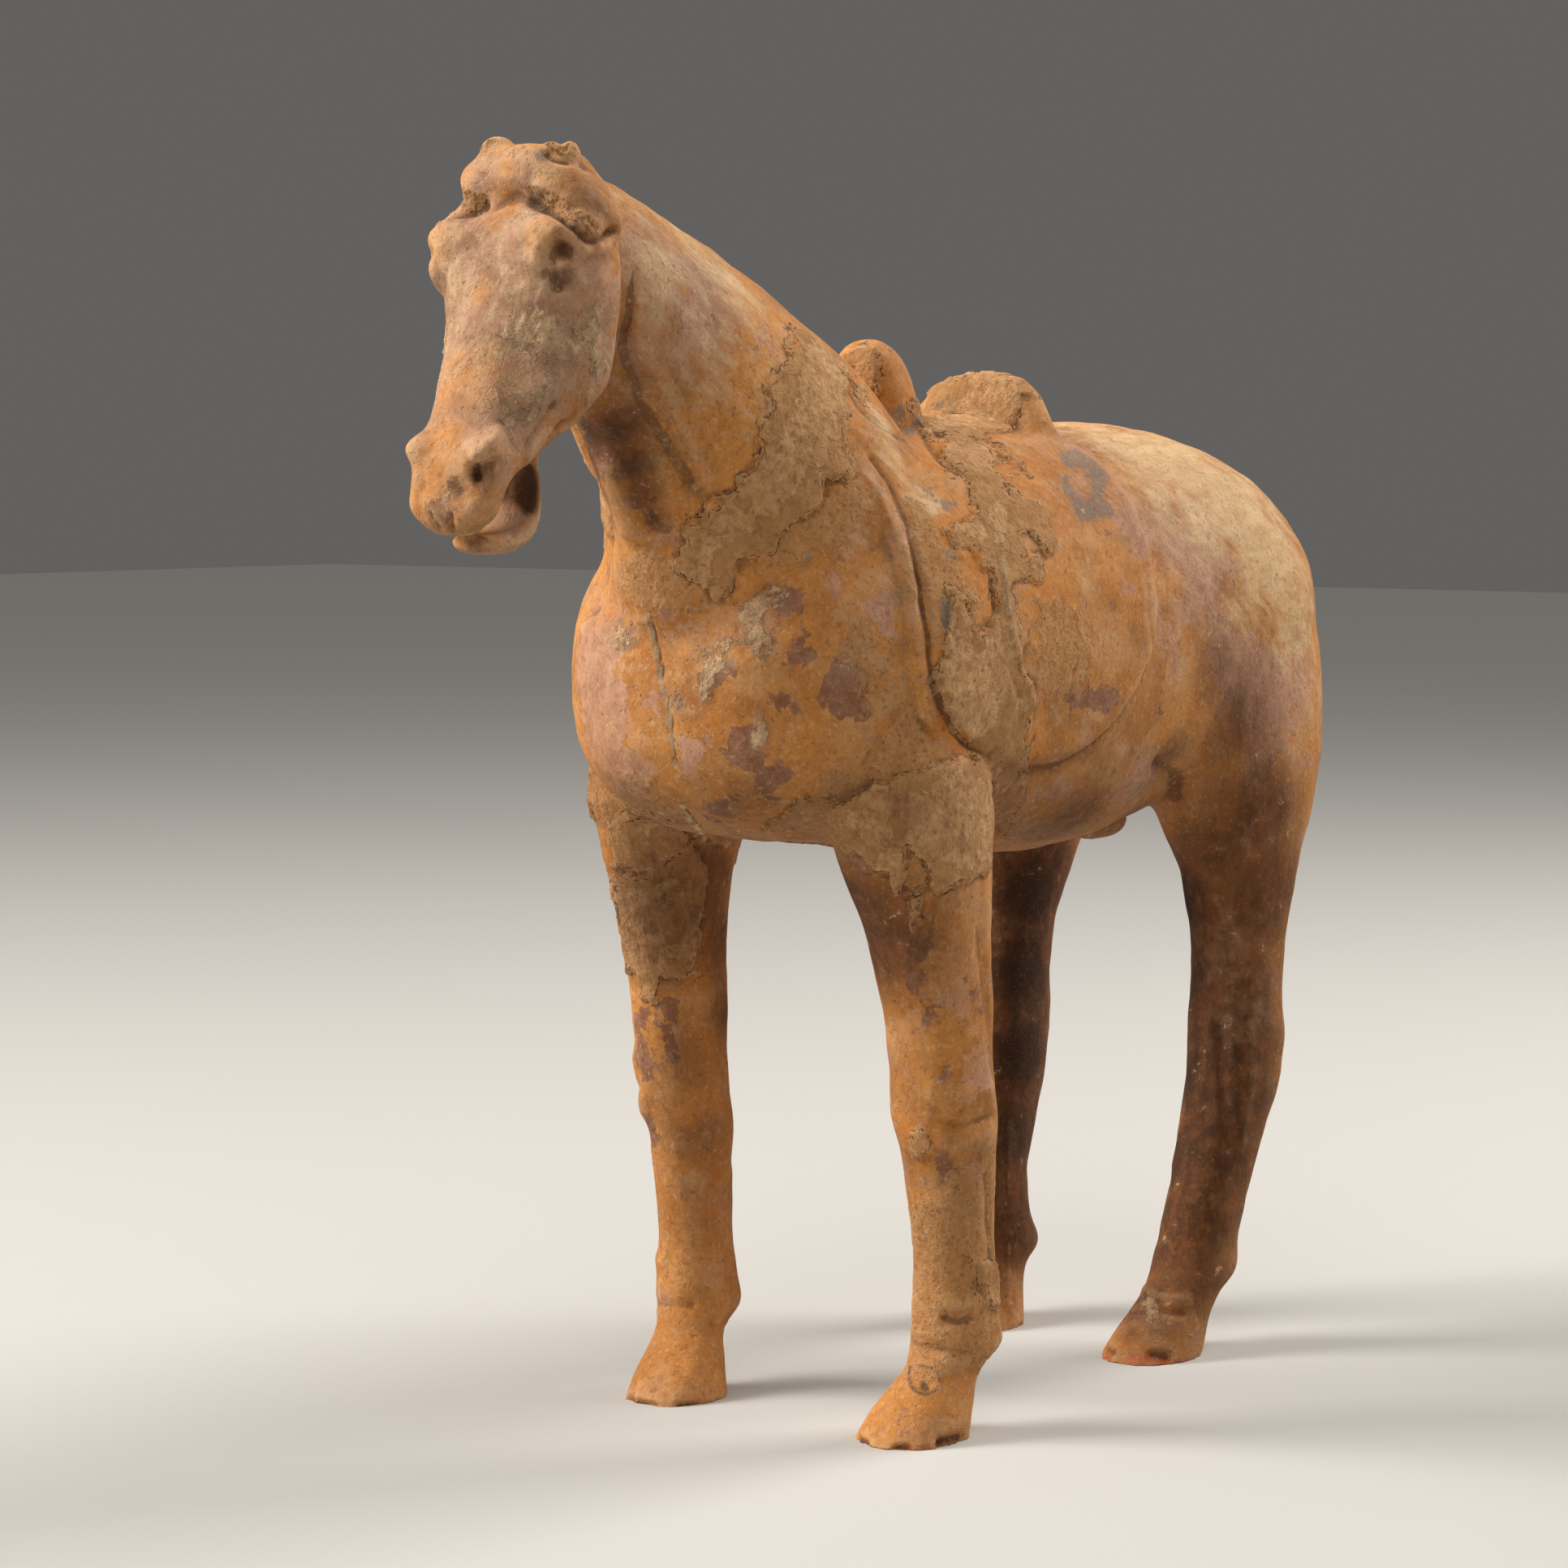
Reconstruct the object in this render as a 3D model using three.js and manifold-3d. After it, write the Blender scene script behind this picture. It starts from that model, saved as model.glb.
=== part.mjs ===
// A saddled tomb horse of fired clay, standing on its own four hooves with no base.
// Units are millimetres, +Z is up, the horse looks along -Y and its left side is +X.
// The origin is on the ground, under the centre of the horse.
import * as THREE from "three";
import { LoftGeometry } from "three/addons/geometries/LoftGeometry.js";
import { mergeVertices } from "three/addons/utils/BufferGeometryUtils.js";
import Module from "manifold-3d";

const wasm = await Module();
wasm.setup();

// Driving dimensions
const height = 340; // ground to the tip of the broken right ear
const barrelWidth = 115; // the body at its widest, behind the shoulders
const foreStance = 88; // between the centres of the two fore cannons
const hindStance = 74; // between the centres of the two hind cannons
const headWidth = 51; // across the brows
const blanketThickness = 2.2; // saddle blanket over the clay of the body
const mouthWidth = 17; // across the lower jaw

// The tables below are drawn for a horse of this height and these widths, and follow the sizes above.
const drawn = { height: 340, barrel: 115, fore: 88, hind: 74, head: 51, mouth: 17 };
const scale = height / drawn.height;
const widen = {
  barrel: barrelWidth / drawn.barrel,
  fore: foreStance / drawn.fore,
  hind: hindStance / drawn.hind,
  head: headWidth / drawn.head,
  mouth: mouthWidth / drawn.mouth,
};

// Facets round each form
const sides = { body: 28, neck: 22, head: 24, leg: 14, small: 10 };

// How square a section is: 2 is an oval, and more is squarer
const squareness = {
  body: 2.25,
  neck: 2.1,
  skull: 2.6,
  jaw: 2.6,
  forelock: 2.3,
  leg: 2.2,
  hump: 2.3,
  seat: 2.1,
};

// The right fore leg is a little slimmer than the left and stands a little further out
const rightFore = { thickness: 0.92, outward: 1.2 };

// Single rounded features: x, y, z of the middle and half sizes along x, y and z
const features = {
  brow: [16.2, -164.6, 312, 10, 11, 10],
  eyeSocket: [23.5, -172.5, 306.5, 4.6, 5, 5],
  eye: [19.5, -170.5, 306.5, 4, 4.4, 4],
  nostrilRim: [9.4, -188.5, 261.5, 6.6, 6.6, 5.6],
  nostril: [14.2, -192.5, 258, 2.8, 3.4, 2.8],
  rightEarStump: [-10, -162, 334.5, 5, 5, 5.78],
  leftEarStump: [12, -160, 332, 4.4, 4.2, 4.4],
  tail: [0, 154.5, 226, 7.5, 7, 25],
  sheath: [0, 90, 153, 8, 13, 6],
};
const tailLean = 0.25; // radians, the docked tail lies back against the buttocks

// Body from breast to buttocks: y, back, belly, half width
const bodyStations = [
  [-114, 205, 191, 6],
  [-112.5, 216, 183, 18],
  [-108, 228, 174.5, 30],
  [-99, 240, 166.5, 41.5],
  [-83, 251, 160, 51],
  [-56, 262, 157, 57.5],
  [-20, 266, 153, 57],
  [15, 267.5, 148.5, 56],
  [45, 269.5, 149, 55],
  [78, 270.5, 155.5, 54],
  [108, 266.5, 166, 53],
  [130, 257, 174, 49.5],
  [147, 243, 184, 40],
  [157, 228, 196, 28],
  [161, 216, 206, 10],
];

// Neck from withers to poll: crest y, crest z, throat y, throat z, half width, then how much narrower
// it is at the crest and at the throat
const neckStations = [
  [-16, 260, -100, 180, 47, 0.25, 0],
  [-32, 277, -109.5, 198, 44.5, 0.3, 0.05],
  [-45, 289, -114.5, 213, 39, 0.35, 0.2],
  [-57, 296.5, -118.5, 227, 33, 0.4, 0.33],
  [-72, 304.5, -122, 240, 29, 0.42, 0.42],
  [-92, 313.5, -128, 251, 26, 0.42, 0.42],
  [-112, 321.5, -133, 261, 23.5, 0.4, 0.4],
  [-133, 329.5, -139, 270, 21.5, 0.35, 0.35],
  [-150, 333.5, -147, 280, 18, 0.3, 0.3],
];

// Skull from poll to upper lip: face y, face z, jaw y, jaw z, half width, then how much narrower it is
// at the face and at the jaw
const headStations = [
  [-158, 336, -148, 334.5, 9, 0, 0],
  [-166, 330.5, -147, 325, 18, 0, 0],
  [-171.5, 321, -146.5, 314, 23, 0, 0.05],
  [-176, 309, -146, 302, 24, 0.05, 0],
  [-180, 297, -145.5, 289, 22, 0.2, -0.08],
  [-184, 285, -147, 277, 19.6, 0.22, -0.12],
  [-188.5, 274, -157, 267.5, 16.4, 0.05, 0],
  [-192.5, 264, -169, 260.5, 15.6, -0.05, 0.25],
  [-195.5, 256.5, -178, 256.5, 14.6, -0.05, 0.25],
  [-196, 250, -182, 250, 12.8, 0, 0.2],
  [-194.5, 244.5, -184, 245, 10.5, 0, 0],
  [-191, 241.2, -186.5, 241.8, 5, 0, 0],
];

// Lower jaw, a thin curled strap that leaves the mouth open: y, z, half thickness, half width
const jawStations = [
  [-169, 268, 5, 10],
  [-169.5, 260, 2.4, 9.5],
  [-167.5, 252.5, 1.8, 9],
  [-168.5, 245.7, 2, 9],
  [-173, 240.9, 2.4, 9],
  [-179, 239.2, 2.7, 8.4],
  [-184.8, 239.9, 2.5, 6],
];

// Fore leg from shoulder to sole: z, x, y, half width, half length before, half length behind
const foreLeg = [
  [206, 34, -60, 17, 22, 26],
  [186, 37, -60, 19.5, 26, 29],
  [168, 39.5, -59, 18.8, 27.5, 29.5],
  [150, 42, -56, 16.8, 22, 23],
  [133, 43.2, -53, 14.8, 17.5, 18.5],
  [114, 43.8, -50, 13.3, 15.5, 16.5],
  [98, 44, -48, 12.8, 15.5, 14.5],
  [86, 44.2, -46.5, 13.4, 16, 14],
  [74, 44, -44.5, 12, 13.2, 13.6],
  [58, 44, -43, 10.6, 12, 12.2],
  [42, 44, -42, 10.2, 11.6, 12],
  [31, 44, -41.8, 11, 12, 13.4],
  [23.5, 44, -41.8, 11.6, 12, 15.8],
  [18, 43.2, -45.5, 9.6, 10, 10.4],
  [12.5, 42, -49.5, 11, 11.8, 11.6],
  [6, 40.8, -53, 13.2, 14.6, 14],
  [0, 40, -55.5, 14.4, 16.8, 16.4],
];

// Hind leg from croup to sole, in the same columns
const hindLeg = [
  [236, 27, 112, 17, 32, 28],
  [212, 31, 109, 20.5, 42, 41],
  [190, 33.5, 108, 20, 45, 42.5],
  [172, 35, 108, 19.4, 42, 40],
  [155, 36.5, 110, 17.5, 32, 29.5],
  [139, 37.5, 110.5, 15, 22, 20.5],
  [120, 38, 108.5, 12.8, 15.6, 15.8],
  [104, 38, 107.5, 12.4, 14.6, 16],
  [90, 38, 107, 13, 15, 18],
  [76, 37.7, 106, 12.4, 14.4, 17],
  [61, 37, 102, 11.4, 13.4, 14.4],
  [45, 36, 95.8, 10.8, 12.6, 13.4],
  [33, 35.6, 92, 10.8, 12.4, 13.4],
  [22.5, 35, 90, 11.8, 13.2, 15.4],
  [16.5, 34.6, 84, 10.4, 12, 12],
  [11, 34, 79, 11.6, 13, 12.6],
  [5.5, 33.4, 74.5, 12.8, 15, 14.4],
  [0, 33, 71, 13.6, 16.6, 16.2],
];

// How far the right hind leg stands ahead of the left one: z, y
const rightHindShift = [
  [212, 0],
  [160, -4],
  [90, -12],
  [45, -9.5],
  [22, 0],
  [0, 5],
];

// Saddle humps from the seat up: z, y, half width, half length
const pommelStations = [
  [250, -24, 21, 15],
  [268, -22.5, 16, 11.5],
  [277, -22, 13.2, 10],
  [284, -22, 11, 8.6],
  [289.5, -22.5, 7.4, 6],
  [292, -23, 3, 2.6],
];
const cantleStations = [
  [246, 21, 36, 18],
  [262, 27, 29, 13],
  [271, 30, 23.5, 10],
  [277.5, 31.5, 18.5, 8.4],
  [281.8, 32.2, 12.5, 6.4],
  [284, 32.6, 5, 3],
];

// Seat between the humps, a low ridge over the spine: y, top, half width
const seatFoot = 250;
const seatDepth = 8; // of its underside, within the body
const seatStations = [
  [-27, 277, 16],
  [-15, 274, 20],
  [0, 272, 24],
  [15, 272.5, 27],
  [30, 275, 28.5],
  [37, 271, 27],
];

// Saddle blanket seen from the side, from the withers round the lower edge to the loins: y, z
const edgeSteps = 4; // between two points of the outline
const blanketOutline = [
  [-60, 290],
  [-68, 262],
  [-71.5, 236],
  [-72, 210],
  [-66, 192],
  [-50, 181.5],
  [-24, 177],
  [2, 180.5],
  [21, 190],
  [33, 206],
  [36.5, 226],
  [37, 250],
  [36, 290],
];

// Bound forelock across the poll, from the horse's right to its left:
// x, y, z, half size along, half size across
const forelockArch = 0.028; // radians of tilt for each mm from the middle
const forelockStations = [
  [-18.5, -161.5, 326.5, 4.5, 3.5],
  [-15.5, -162, 327.5, 7, 6],
  [-8, -162.5, 329, 8.6, 7.6],
  [3, -162.5, 329.4, 9, 8.2],
  [11, -161.5, 326.5, 9, 8],
  [17.5, -160, 321, 8.2, 7.2],
  [22.2, -158.5, 314.5, 5.8, 4.8],
];

// A row of a table at any place between its rows, by a Catmull-Rom spline
function rowAt(table, place) {
  const i = Math.min(Math.floor(place), table.length - 2);
  const t = place - i;
  const at = (n) => table[Math.max(0, Math.min(table.length - 1, n))];
  return table[i].map((_, c) => {
    const [p, q, r, s] = [at(i - 1)[c], at(i)[c], at(i + 1)[c], at(i + 2)[c]];
    const bend = -p + 3 * q - 3 * r + s;
    return q + 0.5 * t * (r - p + t * (2 * p - 5 * q + 4 * r - s + t * bend));
  });
}

// Every row of a table, and evenly spaced rows between them
function rowsOf(table, steps) {
  const count = (table.length - 1) * steps;
  return Array.from({ length: count + 1 }, (_, n) => rowAt(table, n / steps));
}

// A value read from a two-column table at a height, on straight lines between its rows
function valueAt(table, z) {
  const i = table.findIndex((row) => row[0] <= z);
  if (i <= 0) return i < 0 ? table[table.length - 1][1] : table[0][1];
  const [a, b] = [table[i - 1], table[i]];
  return a[1] + ((b[1] - a[1]) * (a[0] - z)) / (a[0] - b[0]);
}

// One ring of a loft: an oval in the plane of the unit vectors u and v, with its own reach to each side.
// A higher power makes it squarer, and a pinch makes it narrower towards its upper or lower end.
function ring(centre, u, v, reach, power, count, pinch = { up: 0, down: 0 }) {
  return Array.from({ length: count }, (_, n) => {
    const turn = (2 * Math.PI * n) / count;
    const [c, s] = [Math.cos(turn), Math.sin(turn)];
    const narrow = 1 - s * s * (s > 0 ? pinch.up : pinch.down);
    const along = Math.sign(c) * Math.abs(c) ** (2 / power) * (c > 0 ? reach.right : reach.left) * narrow;
    const across = Math.sign(s) * Math.abs(s) ** (2 / power) * (s > 0 ? reach.up : reach.down);
    return new THREE.Vector3()
      .copy(centre)
      .addScaledVector(u, along)
      .addScaledVector(v, across)
      .multiplyScalar(scale);
  });
}

// A closed mesh as a solid
function solidOf(geometry) {
  const bare = new THREE.BufferGeometry();
  bare.setAttribute("position", geometry.attributes.position);
  bare.setIndex(geometry.index);
  const merged = mergeVertices(bare, 1e-4);
  const places = merged.attributes.position.array;
  const corners = Uint32Array.from(merged.index.array);
  return new wasm.Manifold(new wasm.Mesh({ numProp: 3, vertProperties: places, triVerts: corners }));
}

// A closed form through rings, each of which must run anticlockwise as seen from the last one
function loftSolid(rings) {
  const [first, last] = [rings[0], rings[rings.length - 1]];
  const onward = last[0].clone().add(last[last.length / 2]).sub(first[0]).sub(first[first.length / 2]);
  const quarter = first.length / 4;
  const a = first[Math.floor(quarter)].clone().sub(first[0]);
  const b = first[Math.floor(2 * quarter)].clone().sub(first[0]);
  if (a.cross(b).dot(onward) < 0) {
    for (const points of rings) points.reverse();
  }
  return solidOf(new LoftGeometry(rings, { closed: true, capStart: true, capEnd: true }));
}

// An egg-shaped feature, on the horse's left side or mirrored to its right
function lump([x, y, z, ...reach], side = 1, lean = 0) {
  const egg = new THREE.SphereGeometry(1, sides.small, sides.small * 0.6);
  const place = new THREE.Matrix4().compose(
    new THREE.Vector3(side * x, y, z).multiplyScalar(scale),
    new THREE.Quaternion().setFromEuler(new THREE.Euler(lean, 0, 0)),
    new THREE.Vector3(...reach).multiplyScalar(scale),
  );
  return solidOf(egg.applyMatrix4(place));
}

const axisX = new THREE.Vector3(1, 0, 0);
const axisY = new THREE.Vector3(0, 1, 0);
const axisZ = new THREE.Vector3(0, 0, 1);

const fullBelly = { up: 0, down: -0.15 };

// The body, or the same form a little thicker for the blanket that lies on it
function body(thicker) {
  const rings = rowsOf(bodyStations, 2).map(([y, top, bottom, half]) => {
    const widest = (top + bottom) / 2;
    const side = half * widen.barrel + thicker;
    const reach = { right: side, left: side, up: top - widest + thicker, down: widest - bottom + thicker };
    return ring(new THREE.Vector3(0, y, widest), axisX, axisZ, reach, squareness.body, sides.body, fullBelly);
  });
  return loftSolid(rings);
}

// A form drawn by its front and back lines in the middle plane, such as the neck or the skull
function profiled(stations, power, widthFactor, count) {
  const rings = rowsOf(stations, 2).map(([yA, zA, yB, zB, half, up, down]) => {
    const front = new THREE.Vector3(0, yA, zA);
    const back = new THREE.Vector3(0, yB, zB);
    const across = front.clone().sub(back).normalize();
    const reach = { right: half * widthFactor, left: half * widthFactor };
    reach.up = reach.down = front.distanceTo(back) / 2;
    return ring(front.add(back).multiplyScalar(0.5), axisX, across, reach, power, count, { up, down });
  });
  return loftSolid(rings);
}

function leg(table, side, stance, { thickness = 1, outward = 0, shift = null } = {}) {
  const rings = rowsOf(table, 1).map(([z, x, y, half, before, behind]) => {
    const centre = new THREE.Vector3(side * (x * stance + outward), y + (shift ? valueAt(shift, z) : 0), z);
    const wide = half * thickness;
    const reach = { right: wide, left: wide, up: behind * thickness, down: before * thickness };
    return ring(centre, axisX, axisY, reach, squareness.leg, sides.leg);
  });
  return loftSolid(rings);
}

function hump(stations) {
  const rings = rowsOf(stations, 2).map(([z, y, half, length]) => {
    const reach = { right: half, left: half, up: length, down: length };
    return ring(new THREE.Vector3(0, y, z), axisX, axisY, reach, squareness.hump, sides.leg);
  });
  return loftSolid(rings);
}

function seat() {
  const rings = rowsOf(seatStations, 1).map(([y, top, half]) => {
    const reach = { right: half, left: half, up: top - seatFoot, down: seatDepth };
    return ring(new THREE.Vector3(0, y, seatFoot), axisX, axisZ, reach, squareness.seat, sides.leg);
  });
  return loftSolid(rings);
}

function lowerJaw() {
  const rows = rowsOf(jawStations, 2);
  const rings = rows.map(([y, z, thick, half], n) => {
    const [before, after] = [rows[Math.max(0, n - 1)], rows[Math.min(rows.length - 1, n + 1)]];
    const along = new THREE.Vector3(0, after[0] - before[0], after[1] - before[1]).normalize();
    const outward = new THREE.Vector3().crossVectors(axisX, along);
    const reach = { right: half * widen.mouth, left: half * widen.mouth, up: thick, down: thick };
    return ring(new THREE.Vector3(0, y, z), axisX, outward, reach, squareness.jaw, sides.small);
  });
  return loftSolid(rings);
}

function forelock() {
  const rings = rowsOf(forelockStations, 2).map(([x, y, z, along, across]) => {
    const reach = { right: along, left: along, up: across, down: across };
    const tilt = forelockArch * x;
    const upward = new THREE.Vector3(Math.sin(tilt), 0, Math.cos(tilt));
    const centre = new THREE.Vector3(x * widen.head, y, z);
    return ring(centre, axisY, upward, reach, squareness.forelock, sides.small);
  });
  return loftSolid(rings);
}

// The blanket is a slightly thicker body, kept only inside the outline that is cut through it from the side
function blanket() {
  const outline = new THREE.Shape();
  const points = blanketOutline.map(([y, z]) => new THREE.Vector2(y, z).multiplyScalar(scale));
  outline.moveTo(points[0].x, points[0].y);
  outline.splineThru(points.slice(1));
  outline.closePath();
  const across = 2 * barrelWidth * scale;
  const through = { depth: across, bevelEnabled: false, curveSegments: edgeSteps };
  const cutter = new THREE.ExtrudeGeometry(outline, through);
  cutter.translate(0, 0, -across / 2);
  cutter.applyMatrix4(new THREE.Matrix4().makeBasis(axisY, axisZ, axisX));
  return body(blanketThickness).intersect(solidOf(cutter));
}

function head() {
  let made = profiled(headStations, squareness.skull, widen.head, sides.head);
  made = made.add(lowerJaw()).add(forelock());
  const put = (name, side = 1) => {
    const [x, ...rest] = features[name];
    return lump([x * widen.head, ...rest], side);
  };
  for (const side of [-1, 1]) {
    made = made.add(put("brow", side)).subtract(put("eyeSocket", side)).add(put("eye", side));
    made = made.add(put("nostrilRim", side)).subtract(put("nostril", side));
  }
  return made.add(put("rightEarStump")).add(put("leftEarStump"));
}

function legs() {
  return [
    leg(foreLeg, -1, widen.fore, rightFore),
    leg(hindLeg, -1, widen.hind, { shift: rightHindShift }),
    leg(foreLeg, 1, widen.fore),
    leg(hindLeg, 1, widen.hind),
  ];
}

function saddle() {
  return blanket().add(seat()).add(hump(pommelStations)).add(hump(cantleStations));
}

function horseSolid() {
  let made = body(0).add(profiled(neckStations, squareness.neck, 1, sides.neck)).add(head());
  for (const each of legs()) made = made.add(each);
  return made.add(saddle()).add(lump(features.tail, 1, tailLean)).add(lump(features.sheath));
}

// The solid as three.js geometry, with its lowest point on the ground and its middle over the origin
function geometryOf(solid) {
  const mesh = solid.getMesh();
  const made = new THREE.BufferGeometry();
  made.setAttribute("position", new THREE.BufferAttribute(Float32Array.from(mesh.vertProperties), 3));
  made.setIndex(new THREE.BufferAttribute(Uint32Array.from(mesh.triVerts), 1));
  made.computeBoundingBox();
  const { min, max } = made.boundingBox;
  made.translate(-(min.x + max.x) / 2, -(min.y + max.y) / 2, -min.z);
  made.computeVertexNormals();
  return made;
}

const clay = new THREE.MeshStandardMaterial({ color: 0xb9804a, roughness: 0.92, metalness: 0 });

const horse = new THREE.Mesh(geometryOf(horseSolid()), clay);
horse.name = "horse";

const group = new THREE.Group();
group.add(horse);
export default group;
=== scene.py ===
import math

import bmesh
import bpy
import numpy as np
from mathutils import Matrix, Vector, noise


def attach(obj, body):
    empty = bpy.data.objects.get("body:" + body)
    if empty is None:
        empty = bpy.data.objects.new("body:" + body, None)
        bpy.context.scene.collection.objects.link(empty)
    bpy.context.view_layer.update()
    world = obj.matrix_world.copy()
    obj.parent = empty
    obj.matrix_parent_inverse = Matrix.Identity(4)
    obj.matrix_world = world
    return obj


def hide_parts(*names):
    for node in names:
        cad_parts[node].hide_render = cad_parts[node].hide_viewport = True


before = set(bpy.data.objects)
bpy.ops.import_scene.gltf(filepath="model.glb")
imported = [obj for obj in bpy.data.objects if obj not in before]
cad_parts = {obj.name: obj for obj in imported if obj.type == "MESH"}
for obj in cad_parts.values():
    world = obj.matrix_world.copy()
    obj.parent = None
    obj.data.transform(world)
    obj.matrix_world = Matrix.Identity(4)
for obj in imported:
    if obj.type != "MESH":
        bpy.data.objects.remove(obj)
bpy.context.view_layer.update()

# Camera, in millimetres and degrees: where it stands round the horse, and the point it is aimed at
camera_turn = math.radians(38.0)
camera_rise = math.radians(4.5)
camera_distance = 1200.0
aim = np.array([-29.0, -6.3, 169.2])
photo_side = 1932
per_mm = 4.414  # photograph pixels to a millimetre, at the aim
sensor = 36.0
rightward = np.array([math.cos(camera_turn), math.sin(camera_turn), 0.0])
backward = np.array([
    math.sin(camera_turn) * math.cos(camera_rise),
    -math.cos(camera_turn) * math.cos(camera_rise),
    math.sin(camera_rise),
])
upward = np.cross(backward, rightward)
eye = aim + backward * camera_distance

# The surface, in millimetres
voxel = 1.0
most_triangles = 197000
head_plane = -128.0  # the head is in front of this
eye_middle = np.array([21.5, -155.1, 306.5])
far_nostril = np.array([-14.2, -176.1, 257.0])
eye_reach, nostril_reach = 7, 6
smoothing_rounds, hollow_rounds = 50, 8  # how often points are averaged with their neighbours
# How strongly facets are evened out, and how much less on the head, the saddle and the legs
evenness, head_less, saddle_less, leg_less = 0.9, 0.65, 0.5, 0.3
sole, above_sole = 0.3, 3.0  # the soles stay flat below the first, and relief is full above the second
hoof_edge = (1.0, 4.0)  # facets are left below the first, and evened out in full above the second
# Where the head, the saddle and the legs begin or end. Each pair is the two ends of a gradual change.
head_end = (head_plane - 6, head_plane + 8)
saddle_foot, saddle_front, saddle_back = (262, 272), (-20, -12), (52, 64)
leg_top = (120, 170)
facing_down, belly = (0.1, 0.9), (100, 130)  # painted shade darkens undersides that face down this much and lie above this height
# Size and height of the swells and dimples of clay that was pressed by hand
swell_size, swell_height = 17, 0.5
dimple_size, dimple_height = 6, 0.22
# How the edges of the layers wander, slowly and quickly, and the flakes that break off them
sway_size, sway_reach = 16, 1.6
ripple_size, ripple_reach = 5, 0.9
large_flake, small_flake = 8, 3.4

# How places are found on the camera's view
cell_side, cells = 8, 252  # the view is sorted into square cells: their side in pixels, and how many each way
hidden = (34, 42)  # clay this many millimetres behind the nearest in its cell doesn't show
face_on = 0.25  # clay that faces the camera more than this shows in full
least_seen = 0.3  # lines are laid only on clay that shows at least this much
margin = 80  # pixels outside an outline that still count
no_layer = -18.0  # millimetres, where no outline is near
point_gap = 6.0  # pixels between the points of a line
nearest_few = 4  # points of the mesh that one point of a line is laid on
even_rounds = 3  # how often a laid line is evened out
line_fade = 0.15  # share of a line's length over which its ends die away
line_reach = 4  # half widths from a line beyond which it adds nothing
left_side, right_side = (1.0,), (-1.0,)
small_spot, small_spot_share = 5, 0.4  # spots that reach no further are fainter on the far side

# Outlines and lines below are drawn on the camera's view, in the photograph's pixels.
# Mud crust that still lies on the clay
crust_outlines = [
    # neck and withers
    [(972, 392), (992, 412), (1022, 434), (1050, 489), (1039, 531), (1044, 584), (1016, 588), (1008, 623),
     (961, 651), (949, 676), (906, 689), (903, 726), (883, 739), (833, 703), (831, 678), (844, 643),
     (868, 641), (873, 624), (906, 603), (908, 586), (927, 581), (939, 553), (933, 531), (947, 503),
     (944, 467), (969, 445)],
    # front of the pommel
    [(1025, 431), (1078, 431), (1092, 459), (1086, 481), (1078, 492), (1061, 484), (1039, 453)],
    # front of the cantle
    [(1130, 511), (1127, 490), (1171, 465), (1221, 456), (1261, 469), (1279, 486), (1257, 483), (1254, 504),
     (1243, 526), (1229, 542), (1214, 544), (1193, 554), (1171, 554), (1161, 547), (1146, 540), (1134, 522)],
    # saddle flap, from the seat down to the elbow
    [(1146, 540), (1160, 566), (1182, 586), (1194, 599), (1195, 619), (1200, 629), (1195, 642), (1177, 651),
     (1168, 654), (1177, 669), (1193, 674), (1204, 683), (1209, 701), (1223, 704), (1227, 726), (1228, 759),
     (1211, 784), (1194, 781), (1183, 737), (1169, 731), (1164, 759), (1156, 792), (1153, 842), (1167, 887),
     (1200, 926), (1261, 959), (1267, 903), (1272, 853), (1254, 820), (1258, 780), (1254, 750), (1243, 726),
     (1254, 715), (1279, 713), (1286, 704), (1282, 690), (1293, 676), (1298, 661), (1293, 636), (1279, 619),
     (1250, 615), (1246, 601), (1236, 588), (1222, 578), (1230, 562), (1218, 548), (1180, 544)],
    [(1223, 556), (1243, 565), (1262, 572), (1261, 581), (1245, 577), (1239, 569)],
    # elbow and shoulder
    [(944, 1023), (989, 984), (1033, 987), (1078, 973), (1122, 951), (1178, 934), (1256, 929), (1256, 973),
     (1233, 1029), (1228, 1062), (1183, 1084), (1156, 1101), (1142, 1096), (1142, 1062), (1128, 1046),
     (1111, 1040), (1108, 1073), (1100, 1101), (1089, 1079), (1069, 1079), (1056, 1057), (1033, 1040),
     (1011, 1029), (967, 1023)],
    # right forearm, with the tongue that peels off it
    [(752, 1073), (783, 1079), (811, 1062), (833, 1051), (848, 1040), (860, 1062), (866, 1112), (857, 1196),
     (833, 1212), (811, 1196), (806, 1232), (790, 1232), (787, 1196), (769, 1196), (764, 1129)],
    # flecks below the left elbow, on the knee and above the fetlock
    [(1112, 1110), (1128, 1100), (1134, 1130), (1122, 1150)],
    [(1124, 1392), (1142, 1390), (1146, 1412), (1132, 1424), (1124, 1412)],
    [(1196, 1548), (1224, 1556), (1232, 1600), (1216, 1610), (1200, 1580)],
    # over the right forearm
    [(752, 1010), (790, 1000), (846, 1020), (842, 1052), (800, 1070), (756, 1066)],
]
crust_windows = [
    [(1255, 660), (1272, 656), (1284, 668), (1280, 684), (1262, 684)],
]
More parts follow.
